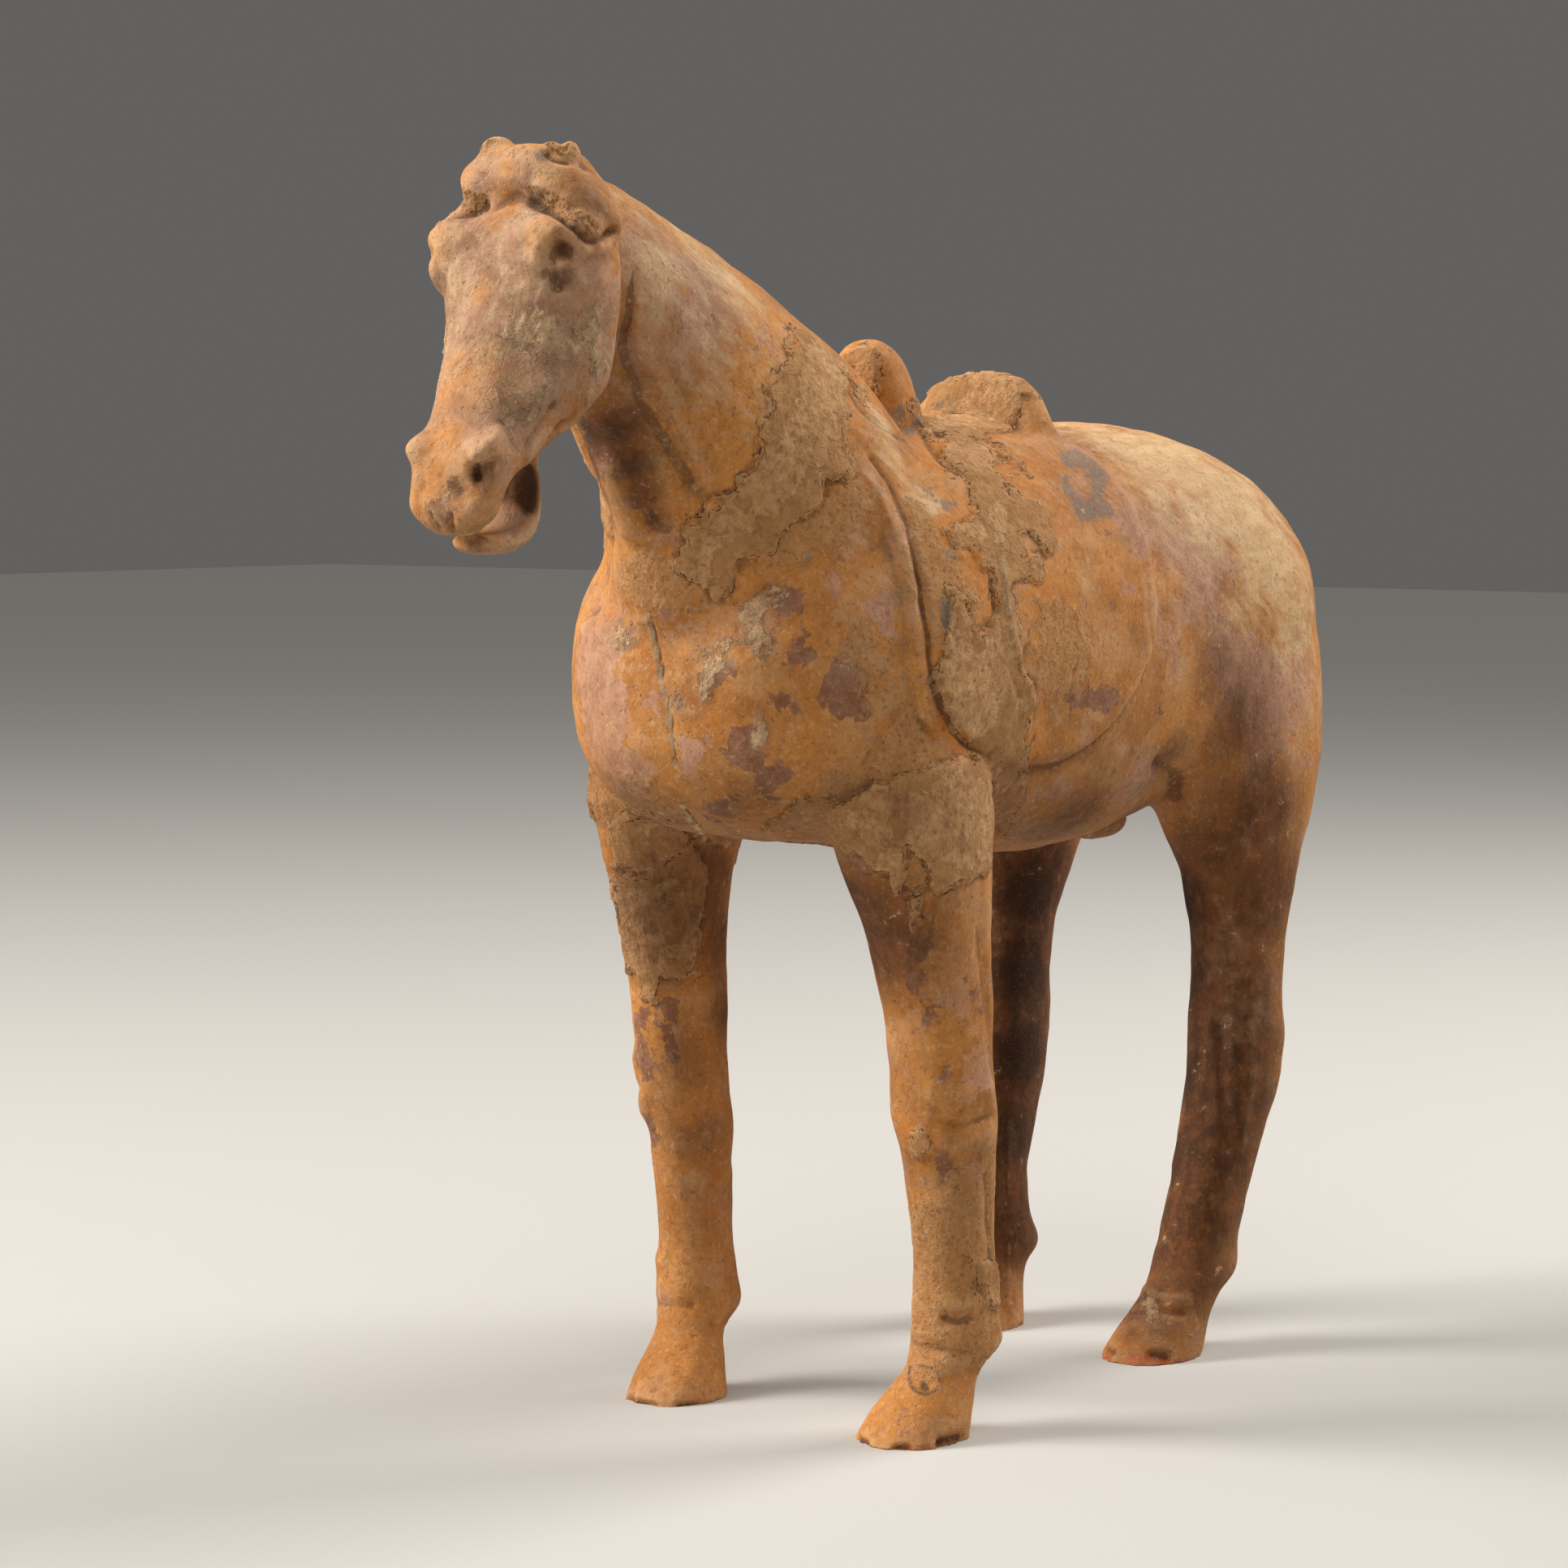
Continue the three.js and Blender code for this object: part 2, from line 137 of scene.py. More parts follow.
# Pale lime on the clay
lime_outlines = [
    [(952, 725), (965, 727), (963, 741), (952, 748), (940, 760), (936, 775), (955, 787), (955, 802),
     (940, 812), (925, 806), (917, 791), (900, 795), (898, 810), (882, 825), (878, 848), (871, 868),
     (859, 864), (863, 841), (875, 814), (890, 802), (855, 810), (855, 800), (882, 795), (909, 787),
     (917, 775), (907, 756), (921, 748), (940, 737)],
    [(936, 876), (948, 896), (944, 921), (926, 920), (925, 896)],
    [(826, 855), (836, 855), (836, 868), (828, 868)],
    [(759, 766), (771, 764), (773, 788), (761, 791)],
    # left hind pastern
    [(1408, 1598), (1426, 1602), (1430, 1622), (1414, 1628)],
    # face: below the eye, on the cheek, beside the nostril and behind the mouth
    [(618, 398), (640, 388), (664, 384), (690, 392), (704, 404), (716, 428), (706, 442), (684, 444),
     (664, 438), (662, 420), (640, 424), (620, 420)],
    [(722, 385), (736, 380), (742, 410), (726, 418)],
    [(728, 430), (744, 428), (748, 456), (734, 466)],
    [(606, 478), (614, 480), (620, 505), (632, 520), (634, 548), (624, 546), (616, 520)],
    [(676, 462), (682, 468), (664, 486), (650, 512), (640, 520), (640, 508), (656, 484)],
]
# Thin film of mud round the crusts
film_outlines = [
    [(1040, 750), (1078, 770), (1102, 800), (1112, 850), (1128, 890), (1160, 925), (1246, 950), (1240, 1010),
     (1230, 1060), (1150, 1100), (1050, 1060), (1000, 1030), (940, 1024), (985, 985), (1020, 958),
     (1060, 940), (1078, 900), (1068, 850), (1042, 800)],
    [(1120, 600), (1150, 640), (1180, 700), (1198, 790), (1165, 880), (1150, 860), (1140, 760), (1128, 690)],
    [(758, 690), (800, 680), (840, 700), (872, 735), (862, 772), (826, 762), (784, 752), (760, 730)],
    [(1268, 740), (1300, 730), (1330, 750), (1345, 800), (1330, 850), (1300, 880), (1270, 870), (1262, 800)],
    [(1236, 1000), (1300, 1010), (1390, 1000), (1380, 1040), (1300, 1056), (1236, 1056)],
    [(740, 975), (800, 960), (846, 1000), (862, 1040), (800, 1090), (752, 1080)],
    [(1010, 600), (1045, 600), (1060, 660), (1020, 690), (960, 700), (930, 690), (975, 650)],
    [(1120, 1490), (1160, 1470), (1240, 1400), (1246, 1600), (1236, 1690), (1106, 1690), (1112, 1560)],
    # along the ridge of the neck, and on the edge of the cheek
    [(798, 462), (812, 474), (826, 500), (846, 536), (866, 566), (872, 600), (862, 606), (846, 582),
     (828, 548), (806, 506)],
    [(706, 400), (716, 470), (740, 500), (726, 510), (706, 480)],
]
# Places where the ochre slip is gone: pale lilac clay, and darker plum
lilac_outlines = [
    [(756, 684), (764, 730), (775, 779), (766, 823), (777, 862), (770, 918), (806, 948), (790, 975),
     (756, 970), (733, 951), (714, 907), (700, 807), (722, 729)],
    [(1003, 714), (1017, 702), (1036, 704), (1040, 718), (1032, 729), (1040, 745), (1032, 756), (1013, 752),
     (1009, 737), (1017, 729)],
    [(1066, 730), (1090, 718), (1104, 740), (1098, 784), (1080, 790), (1070, 764)],
    [(1100, 1151), (1140, 1140), (1190, 1165), (1204, 1200), (1196, 1260), (1160, 1240), (1120, 1215),
     (1104, 1190)],
    [(836, 912), (857, 912), (857, 960), (838, 958)],
    [(853, 900), (880, 900), (880, 925), (856, 925)],
    [(830, 848), (848, 850), (846, 875), (832, 872)],
    [(1440, 650), (1500, 640), (1520, 690), (1500, 760), (1450, 740), (1430, 700)],
    [(1490, 780), (1540, 770), (1600, 830), (1600, 900), (1550, 900), (1500, 850)],
    [(796, 860), (806, 852), (814, 866), (806, 880), (797, 874)],
    [(1180, 1290), (1220, 1280), (1230, 1340), (1200, 1350), (1184, 1330)],
]
plum_outlines = [
    [(888, 906), (905, 891), (921, 885), (936, 891), (944, 914), (936, 925), (946, 937), (959, 929),
     (978, 945), (975, 964), (959, 975), (955, 987), (940, 979), (928, 964), (925, 948), (909, 939),
     (898, 945), (888, 929)],
    [(946, 848), (959, 845), (971, 860), (990, 858), (991, 883), (977, 883), (967, 879), (955, 875)],
    [(1015, 864), (1025, 841), (1036, 814), (1059, 814), (1069, 829), (1071, 875), (1061, 895), (1048, 875),
     (1036, 887), (1025, 879)],
    [(856, 835), (876, 830), (884, 850), (872, 868), (858, 862)],
    [(946, 726), (962, 720), (984, 732), (988, 752), (970, 764), (948, 754)],
    [(970, 780), (992, 778), (996, 802), (984, 824), (968, 816)],
    [(886, 826), (905, 810), (916, 826), (906, 844), (890, 848)],
    [(900, 960), (916, 958), (918, 986), (902, 988)],
    [(872, 994), (898, 994), (900, 1012), (878, 1012)],
    [(556, 596), (566, 594), (574, 600), (570, 610), (556, 608)],
    [(532, 622), (550, 618), (560, 630), (552, 646), (536, 642)],
    [(588, 600), (606, 594), (612, 606), (598, 616)],
    [(1312, 846), (1340, 840), (1372, 852), (1380, 870), (1350, 884), (1320, 872)],
    [(780, 1250), (792, 1240), (800, 1286), (814, 1322), (800, 1330), (786, 1312)],
    [(814, 1240), (832, 1232), (832, 1296), (820, 1300)],
    [(712, 528), (740, 518), (762, 530), (770, 556), (782, 580), (772, 590), (760, 580), (748, 592),
     (738, 622), (730, 592)],
    [(786, 600), (800, 610), (812, 640), (826, 655), (818, 664), (800, 650), (788, 626)],
    [(746, 620), (764, 622), (768, 640), (752, 644)],
    # mottling down the legs
    [(1116, 1150), (1140, 1146), (1152, 1170), (1138, 1192), (1118, 1180)],
    [(1116, 1200), (1134, 1200), (1136, 1216), (1120, 1218)],
    [(1130, 1236), (1152, 1238), (1150, 1264), (1134, 1260)],
    [(1194, 1214), (1216, 1218), (1216, 1248), (1200, 1240)],
    [(1150, 1318), (1176, 1314), (1178, 1332), (1156, 1336)],
    [(1386, 1590), (1420, 1600), (1440, 1600), (1430, 1612), (1400, 1618)],
    [(1244, 1120), (1290, 1110), (1286, 1180), (1262, 1230), (1240, 1220)],
    [(1150, 1420), (1172, 1410), (1180, 1440), (1164, 1460), (1150, 1450)],
    [(780, 1380), (800, 1372), (812, 1400), (800, 1430), (784, 1416)],
]
# Left-over spots of grey-blue paint
slate_outlines = [
    [(1098, 503), (1112, 501), (1120, 514), (1106, 518)],
    [(1112, 528), (1128, 522), (1126, 546), (1114, 550)],
    [(1132, 508), (1171, 494), (1170, 502), (1136, 516)],
    [(1138, 596), (1148, 598), (1148, 608), (1138, 606)],
    [(1160, 615), (1178, 617), (1176, 632), (1162, 630)],
    [(1166, 676), (1176, 677), (1175, 688), (1167, 686)],
    [(1155, 737), (1166, 735), (1168, 760), (1163, 778), (1156, 765)],
    [(1304, 551), (1329, 558), (1350, 572), (1368, 594), (1364, 608), (1371, 626), (1386, 640), (1364, 636),
     (1346, 647), (1329, 640), (1314, 619), (1311, 590)],
    [(1490, 757), (1505, 765), (1503, 771), (1489, 765)],
    [(700, 242), (716, 246), (719, 253), (704, 251)],
    [(654, 239), (665, 239), (665, 246), (656, 246)],
    [(663, 193), (676, 195), (679, 203), (666, 201)],
]
slate_windows = [
    [(1318, 576), (1334, 574), (1346, 594), (1340, 616), (1322, 612)],
]
# Fresh breaks at the hooves, where the inner clay shows
raw_outlines = [
    [(1354, 1668), (1380, 1676), (1400, 1670), (1440, 1676), (1476, 1672), (1476, 1690), (1354, 1690)],
    [(1048, 1778), (1080, 1786), (1130, 1781), (1196, 1774), (1196, 1795), (1048, 1795)],
    [(778, 1748), (800, 1756), (850, 1747), (912, 1734), (912, 1760), (778, 1765)],
]
# Old rough breaks at the forelock and the ears
rough_outlines = [
    [(562, 234), (584, 232), (603, 241), (602, 256), (584, 266), (568, 254)],
    [(650, 226), (672, 233), (700, 247), (722, 264), (742, 284), (736, 300), (712, 290), (690, 276),
     (664, 252), (646, 240)],
    [(672, 178), (690, 172), (706, 184), (704, 196), (686, 192), (674, 196)],
    [(588, 178), (600, 168), (616, 166), (600, 184), (592, 196)],
]

# Broad tones of the slip: middle in pixels, reach in millimetres, strength
pink_spots = [
    (620, 450, 30, 1.0), (660, 330, 24, 1.0), (660, 220, 12, 0.9), (600, 600, 12, 0.6), (640, 650, 12, 0.7),
    (700, 440, 22, 0.9), (800, 330, 22, 0.8), (860, 380, 24, 0.9), (790, 420, 16, 0.7), (1060, 680, 12, 0.5),
    (1070, 790, 16, 0.5), (1330, 600, 14, 0.6), (1090, 900, 12, 0.4), (1470, 690, 26, 1.0),
    (1400, 640, 16, 1.0), (1440, 780, 18, 0.7), (1340, 890, 14, 0.5), (1400, 960, 16, 0.7),
    (1560, 880, 26, 0.8), (640, 560, 14, 0.5), (1600, 820, 16, 0.8), (1300, 980, 14, 0.5),
    (1080, 600, 8, 0.6), (1110, 660, 7, 0.6), (1120, 760, 7, 0.5), (900, 430, 18, 0.6), (960, 480, 12, 0.5),
    (738, 318, 10, 0.9), (750, 380, 10, 0.9), (750, 440, 10, 0.9), (730, 488, 8, 0.8), (690, 275, 8, 0.9),
    (700, 215, 9, 0.8), (735, 250, 9, 0.8), (640, 270, 9, 0.7),
]
ochre_spots = [
    (570, 214, 8, 0.6), (600, 200, 8, 0.35), (540, 300, 8, 0.7), (592, 360, 4, 0.7), (560, 470, 10, 0.6),
    (544, 540, 9, 0.6), (566, 560, 8, 0.4), (545, 610, 7, 0.4), (600, 640, 7, 0.4), (1370, 695, 8, 0.9),
    (900, 700, 16, 1.0), (960, 700, 14, 1.0), (1000, 780, 12, 0.7), (980, 930, 16, 0.8),
    (1100, 1000, 12, 0.5), (1160, 700, 8, 0.8), (1155, 600, 7, 0.9), (1120, 1180, 20, 0.9),
    (1150, 1300, 18, 0.8), (800, 1440, 20, 0.6), (810, 1560, 20, 0.6), (830, 1700, 16, 0.7),
    (1120, 1720, 16, 0.3), (850, 560, 14, 0.8), (1290, 780, 12, 0.7), (1400, 840, 10, 0.7),
    (930, 580, 10, 0.8), (1440, 720, 7, 0.9), (925, 470, 8, 1.1), (905, 560, 10, 0.9), (790, 640, 8, 0.8),
    (770, 600, 8, 0.6),
]
# Pale cream slip brushed along the rump; the spots on the neck are partly cream streaks and partly painted
# light that brightens the neck
cream_and_painted_light_spots = [
    (1310, 525, 12, 0.8), (1350, 535, 16, 0.9), (1400, 550, 20, 1.0), (1460, 570, 22, 1.1),
    (1520, 610, 24, 1.1), (1565, 680, 22, 1.1), (1600, 760, 18, 0.9), (1480, 640, 18, 0.8),
    (1430, 600, 16, 0.7), (1100, 560, 8, 0.6), (1140, 620, 7, 0.9), (1085, 520, 7, 0.8), (850, 300, 10, 0.7),
    (900, 350, 12, 0.8), (640, 360, 12, 0.4), (556, 330, 8, 0.5), (1080, 430, 6, 0.4), (1230, 460, 8, 0.4),
    (1540, 740, 14, 0.7), (810, 340, 14, 0.6), (880, 420, 14, 0.5), (930, 470, 10, 0.35), (790, 500, 8, 0.3),
    (1430, 540, 36, 0.7),
]
# Soot stains, and painted shade where the horse lies in shadow: under the jaw, down the hind legs and the
# far-side legs, at the elbows, in the eye, the nostril, the mouth and the lip corners
soot_and_shade_spots = [
    (1500, 830, 16, 0.6), (1400, 780, 10, 0.4), (1530, 900, 22, 0.8), (1550, 1000, 24, 1.0),
    (1560, 1100, 24, 1.1), (1500, 1060, 20, 1.0), (1480, 1160, 24, 1.0), (1520, 1220, 26, 1.0),
    (1500, 1290, 26, 1.3), (1490, 1360, 26, 1.3), (1470, 1420, 26, 1.3), (1450, 1500, 24, 1.2),
    (1460, 1560, 24, 1.0), (1420, 1630, 18, 0.7), (1270, 1100, 22, 1.6), (1260, 1200, 22, 1.6),
    (1260, 1300, 22, 1.6), (1255, 1400, 20, 1.5), (1255, 1500, 20, 1.3), (762, 528, 8, 1.2),
    (778, 568, 7, 1.1), (792, 604, 6, 0.9), (806, 634, 5, 0.7), (870, 1080, 16, 0.9), (880, 1160, 14, 0.8),
    (890, 1250, 10, 0.7), (1440, 930, 12, 0.6), (1400, 1010, 12, 0.6), (1230, 1130, 10, 0.6),
    (815, 1120, 22, 1.2), (1130, 1745, 14, 0.35), (1310, 1015, 18, 0.8), (1220, 1560, 12, 0.4),
    (1180, 1010, 18, 0.6), (1232, 1280, 7, 0.5), (770, 980, 10, 0.5), (830, 1300, 18, 0.45),
    (850, 1400, 14, 0.55), (820, 1480, 18, 0.4), (1180, 1450, 16, 0.4), (1160, 1180, 12, 0.3),
    (1110, 1000, 16, 0.6), (596, 592, 4, 0.7), (692, 305, 3.4, 1.0), (691, 290, 3, 0.45),
    (693, 340, 3.2, 1.1), (690, 324, 4, 0.4), (742, 262, 5, 0.6), (650, 600, 6, 0.9), (562, 603, 4, 0.6),
    (596, 640, 5, 0.8), (586, 672, 4, 0.6), (1410, 1600, 14, 1.0), (1400, 1640, 10, 0.7), (730, 500, 5, 0.6),
    (1205, 500, 12, 0.45), (666, 440, 5, 0.3), (650, 545, 5, 0.4),
]
dust_spots = [
    (620, 320, 26, 1.1), (620, 450, 30, 1.1), (700, 420, 22, 1.0), (650, 200, 16, 1.0), (850, 350, 30, 0.9),
    (580, 560, 18, 0.9), (1470, 650, 30, 0.5), (1080, 560, 12, 0.6), (1130, 700, 12, 0.5),
    (640, 640, 16, 1.0), (560, 620, 14, 0.8), (1060, 760, 16, 0.6), (1000, 800, 12, 0.3), (900, 800, 8, 0.5),
    (1300, 620, 14, 0.5), (1120, 1500, 18, 0.5), (1380, 980, 16, 0.4), (720, 350, 14, 0.8),
    (748, 410, 14, 0.9), (690, 272, 9, 0.9), (722, 238, 10, 0.8), (1500, 1180, 14, 1.2),
    (1530, 1250, 14, 1.0),
]


def stroke(points, wide, high=0.0, sides=left_side + right_side, **more):
    """A line pressed into the clay or raised from it: points, half width and height in millimetres.

    chip: millimetres that the side is moved, inwards below nothing. mud: how much dark fill lies in it,
    partly mud and partly painted shade. bead: how much pale mud fills it. power: how steep its sides are,
    with ends that don't die away. blunt: its ends don't die away.
    wander: how far it strays from its points. behind: it keeps behind this plane.
    """
    return {"at": points, "wide": wide, "high": high, "sides": sides, **more}


def left(points, wide, high=0.0, **more):
    """A line that lies on the left side only."""
    return stroke(points, wide, high, left_side, **more)


neck_and_body_lines = [
    # hollow behind the cheek and down the neck, the crease in it darkened with painted shade, the cord beside
    # it and the windpipe
    stroke([(766, 330), (766, 400), (771, 440), (790, 500), (830, 565), (870, 628)], 3.0, -2.4,
        behind=head_plane),
    left([(765, 318), (765, 350), (766, 390), (768, 430), (773, 470)], 1.0, -0.9, mud=0.45, wander=0.8,
        behind=head_plane),
    stroke([(784, 405), (806, 450), (834, 505), (862, 560), (884, 610)], 2.2, 1.3, behind=head_plane),
    stroke([(748, 560), (772, 620), (790, 672)], 5.0, 1.2, behind=head_plane),
    # middle of the breast: a crack whose dark fill is partly mud and partly painted shade, and a bead of pale
    # mud
    left([(797, 754), (811, 812), (823, 873), (831, 951), (844, 996), (861, 1018)], 0.6, -0.8, mud=0.7,
        wander=0.6, blunt=True),
    left([(795, 750), (809, 812), (821, 873), (829, 951), (846, 1004), (870, 1034)], 0.65, 0.4, bead=1.25,
        wander=0.6, blunt=True),
    # the breast: its far side falls away, and its muscles stand out
    left([(744, 622), (744, 650), (742, 690), (730, 730), (718, 780)], 8.0, -3.2),
    left([(770, 800), (785, 860), (795, 940)], 8.0, 0.9),
    left([(905, 800), (925, 870), (950, 960)], 9.0, 1.1),
    # front edge of the saddle blanket, its dark fill partly mud and partly painted shade
    stroke([(1060, 549), (1098, 600), (1120, 660), (1134, 712)], 1.0, -0.7, mud=0.2, wander=0.5),
    stroke([(1120, 660), (1136, 724), (1146, 820), (1156, 869), (1184, 910), (1240, 940)], 1.1, -1.7,
        mud=0.65, wander=0.5),
    stroke([(1046, 560), (1084, 610), (1111, 680), (1122, 730), (1132, 824), (1142, 880), (1172, 924)],
        2.2, 1.1),
    # lower and rear edge of the saddle blanket
    stroke([(1250, 946), (1301, 946), (1347, 920), (1375, 893), (1399, 856), (1420, 806)], 1.5, -1.1),
    stroke([(1404, 846), (1422, 801), (1414, 749), (1411, 679)], 1.5, -0.35),
    # strap down the blanket
    stroke([(1225, 640), (1232, 703), (1246, 786), (1270, 870), (1262, 940)], 1.2, 0.8),
    stroke([(1226, 650), (1232, 703), (1242, 770), (1254, 800)], 0.8, 0.1, bead=0.9),
    stroke([(1218, 700), (1232, 786), (1255, 870), (1250, 930)], 1.0, -0.6),
    # under the cantle and the pommel
    stroke([(1130, 520), (1150, 560), (1190, 592), (1230, 600)], 1.6, -0.8),
    stroke([(1040, 470), (1060, 505), (1090, 530), (1120, 545)], 1.4, -0.8),
    # stifle and gaskin
    stroke([(1420, 935), (1452, 955), (1446, 1000)], 3.0, -2.0),
    stroke([(1500, 1230), (1506, 1320), (1510, 1420)], 2.0, -1.1),
    stroke([(1540, 1240), (1542, 1330), (1528, 1430)], 2.2, 0.9),
    stroke([(1470, 1270), (1462, 1360), (1440, 1460)], 2.4, 0.7),
    # knees, and the line down the forearm
    stroke([(1140, 1376), (1180, 1390), (1232, 1372)], 2.0, -0.8),
    stroke([(1140, 1404), (1180, 1416), (1232, 1398)], 3.4, 1.1),
    stroke([(1130, 1340), (1180, 1350), (1228, 1336)], 3.4, 0.9),
    stroke([(1205, 1120), (1216, 1250), (1222, 1340)], 2.4, -0.8),
    # back tendon of the fore leg, its fetlock and pastern
    stroke([(1214, 1430), (1218, 1520), (1222, 1600)], 1.8, -0.9),
    stroke([(1118, 1652), (1150, 1660), (1200, 1668)], 1.8, -0.9),
    stroke([(1150, 1600), (1180, 1608), (1222, 1602)], 2.4, 0.7),
    left([(1156, 1620), (1176, 1632), (1200, 1624)], 1.8, -1.0, mud=0.4),
]
face_lines = [
    # brow, eye socket and lids, with painted shade in the lid creases
    stroke([(636, 306), (652, 286), (674, 274), (700, 278), (718, 296), (726, 322)], 3.4, 1.5),
    stroke([(646, 300), (656, 312)], 8.0, 2.0, blunt=True),
    left([(691, 313), (689, 326), (686, 338)], 4.0, -2.6, power=3),
    left([(695, 334), (695, 341)], 2.6, 2.0, power=2.5),
    stroke([(690, 314), (687, 328), (682, 345)], 4.2, -0.7, right_side, power=3),
    stroke([(693, 326), (694, 342)], 3.4, 1.5, right_side, power=2.5),
    left([(675, 324), (676, 308), (690, 299), (704, 304), (709, 318)], 1.2, -0.7, mud=0.4),
    left([(682, 322), (690, 320), (703, 323)], 1.0, 0.5),
    stroke([(664, 338), (667, 312), (679, 292), (699, 286), (715, 297)], 1.9, 0.8),
    left([(680, 324), (677, 340), (667, 362), (661, 377)], 0.8, 0.8),
    left([(697, 353), (688, 356), (679, 354)], 0.9, -0.6, mud=0.2),
    stroke([(712, 318), (714, 332), (708, 348), (697, 360)], 1.3, 0.5),
    # hollow from the eye to the nostril, and the crest of the cheek
    stroke([(652, 350), (644, 420), (638, 500), (628, 545)], 5.5, -1.3),
    stroke([(744, 420), (706, 446), (672, 476), (648, 508)], 3.6, 1.2),
    left([(600, 300), (592, 380), (570, 460), (545, 520)], 5.0, 0.6),
    # folds behind the mouth
    stroke([(704, 462), (672, 515), (640, 560)], 1.1, -0.9),
    stroke([(728, 478), (692, 522), (662, 560)], 1.1, -0.8),
    stroke([(684, 500), (655, 545), (645, 575)], 1.6, 0.6),
    # edge of the jaw
    stroke([(742, 492), (704, 518), (674, 546)], 1.2, 0.8),
    # nostril: its wing, its pit darkened with painted shade, and the dent in front of it
    left([(577, 570), (586, 559), (602, 553), (614, 540), (618, 520)], 1.7, 1.5),
    left([(585, 583), (593, 577), (604, 573)], 2.1, -2.6, mud=1.0, power=3),
    left([(588, 596), (596, 588), (603, 582)], 2.4, -1.2, mud=0.3, blunt=True),
    stroke([(588, 608), (604, 602), (620, 588)], 1.6, 0.5),
    stroke([(562, 598), (566, 603)], 2.6, -1.1, blunt=True),
]
hoof_lines = [
    # chips along the lower edges
    stroke([(1052, 1776), (1064, 1780)], 1.7, chip=-2.0, mud=0.7, blunt=True),
    stroke([(1104, 1786), (1118, 1784)], 1.5, chip=-1.6, mud=0.7, blunt=True),
    stroke([(1160, 1778), (1184, 1772)], 1.7, chip=-2.0, mud=0.7, blunt=True),
    left([(782, 1748), (800, 1752)], 1.7, chip=-2.0, mud=0.7, blunt=True),
    left([(842, 1748), (862, 1744)], 1.5, chip=-1.6, mud=0.7, blunt=True),
    stroke([(1358, 1664), (1368, 1668)], 1.7, chip=-2.0, mud=0.6, blunt=True),
    stroke([(1420, 1672), (1436, 1672)], 1.7, chip=-2.0, mud=0.6, blunt=True),
    stroke([(1388, 1572), (1410, 1588), (1440, 1600), (1474, 1604)], 2.2, 1.0),
    stroke([(1392, 1590), (1414, 1606), (1440, 1616), (1468, 1622)], 1.4, -1.1, mud=0.4, wander=0.4),
    stroke([(1366, 1648), (1384, 1622), (1396, 1600)], 1.2, -0.6),
    # scar on the left fore hoof
    left([(1122, 1686), (1144, 1682), (1160, 1696), (1156, 1714), (1134, 1722), (1118, 1708),
        (1122, 1686)], 0.8, 0.4, mud=0.8, wander=0.3, blunt=True),
    left([(1136, 1706), (1141, 1710)], 1.6, -1.0, mud=0.7, blunt=True),
]
mouth_lines = [
    # lips
    stroke([(527, 628), (532, 644), (546, 656)], 0.9, -0.9),
    stroke([(570, 634), (588, 624), (604, 614)], 2.6, 0.7),
    stroke([(580, 646), (594, 640), (604, 630)], 2.0, -1.2),
    stroke([(612, 610), (622, 590), (634, 566)], 1.4, 0.9),
    # inside of the lower jaw, darkened partly with stain and partly with painted shade
    stroke([(650, 580), (654, 602), (652, 624)], 2.2, -1.6, mud=1.0, blunt=True),
    stroke([(630, 580), (636, 596), (642, 610)], 2.6, -0.8, mud=1.0, blunt=True),
    stroke([(622, 606), (640, 622), (646, 644)], 1.2, 0.8),
]
ear_and_forelock_lines = [
    # stub of the left ear
    left([(683, 184), (700, 183)], 2.4, 1.8, blunt=True),
    left([(673, 186), (680, 198), (694, 199), (708, 201)], 1.1, -1.2, mud=0.5, wander=0.4),
    left([(690, 184), (695, 186)], 1.3, -1.6, mud=0.4, blunt=True),
    left([(716, 190), (720, 202)], 2.4, -1.4, blunt=True),
    # bound forelock over the poll: its edge, the gap under it and the gap above the far brow, with dark fill
    # in the gaps that is partly mud and partly painted shade
    stroke([(640, 242), (664, 252), (690, 270), (714, 290), (738, 308)], 1.6, -2.4, mud=0.8, wander=0.4),
    stroke([(652, 226), (676, 234), (704, 250), (728, 272), (748, 282)], 2.6, 0.7),
    left([(726, 300), (737, 299), (748, 290), (760, 277)], 1.1, -1.8, mud=0.8),
    left([(574, 268), (600, 260), (625, 248), (650, 240)], 1.8, -1.2),
    left([(600, 196), (620, 190), (650, 186)], 1.4, -0.6),
]
strokes = neck_and_body_lines + face_lines + hoof_lines + mouth_lines + ear_and_forelock_lines

# Layers with an edge: outlines, windows in them, how far the edge wanders, how broken it is, and how
# much smaller the layer is on the far side
layers = {
    "crust": (crust_outlines, crust_windows, 1.0, 1.0, 2.5),
    "film": (film_outlines, [], 1.5, 2.2, 2.5),
    "lime": (lime_outlines, [], 0.6, 0.6, 1.5),
    "lilac": (lilac_outlines, [], 1.0, 0.9, 2.5),
    "plum": (plum_outlines, [], 1.0, 0.9, 2.5),
    "slate": (slate_outlines, slate_windows, 0.6, 0.5, 2.5),
    "raw": (raw_outlines, [], 0.4, 0.0, 0.5),
    "rough": (rough_outlines, [], 0.5, 0.0, 1.0),
}
tones = {
    "pink": pink_spots,
    "cream_and_painted_light": cream_and_painted_light_spots,
    "soot_and_shade": soot_and_shade_spots,
    "dust": dust_spots,
    "ochre": ochre_spots,
}
# What the layers add to the surface: from where to where inside the edge it rises, steady height, height
# of its lumps, their size, all in millimetres, and the seed of the lumps
relief = [
    ("crust", -0.5, 0.3, 0.9, 0.45, 9, 12),
    ("crust", -1, 2, 0, 0.25, 3.2, 9),
    ("film", -0.3, 0.6, 0.3, 0, None, None),
    ("lime", -0.4, 0.5, 0.35, 0.55, 1.9, 10),
    ("rough", -0.2, 0.8, 0, 1.2, 2.0, 11),
]


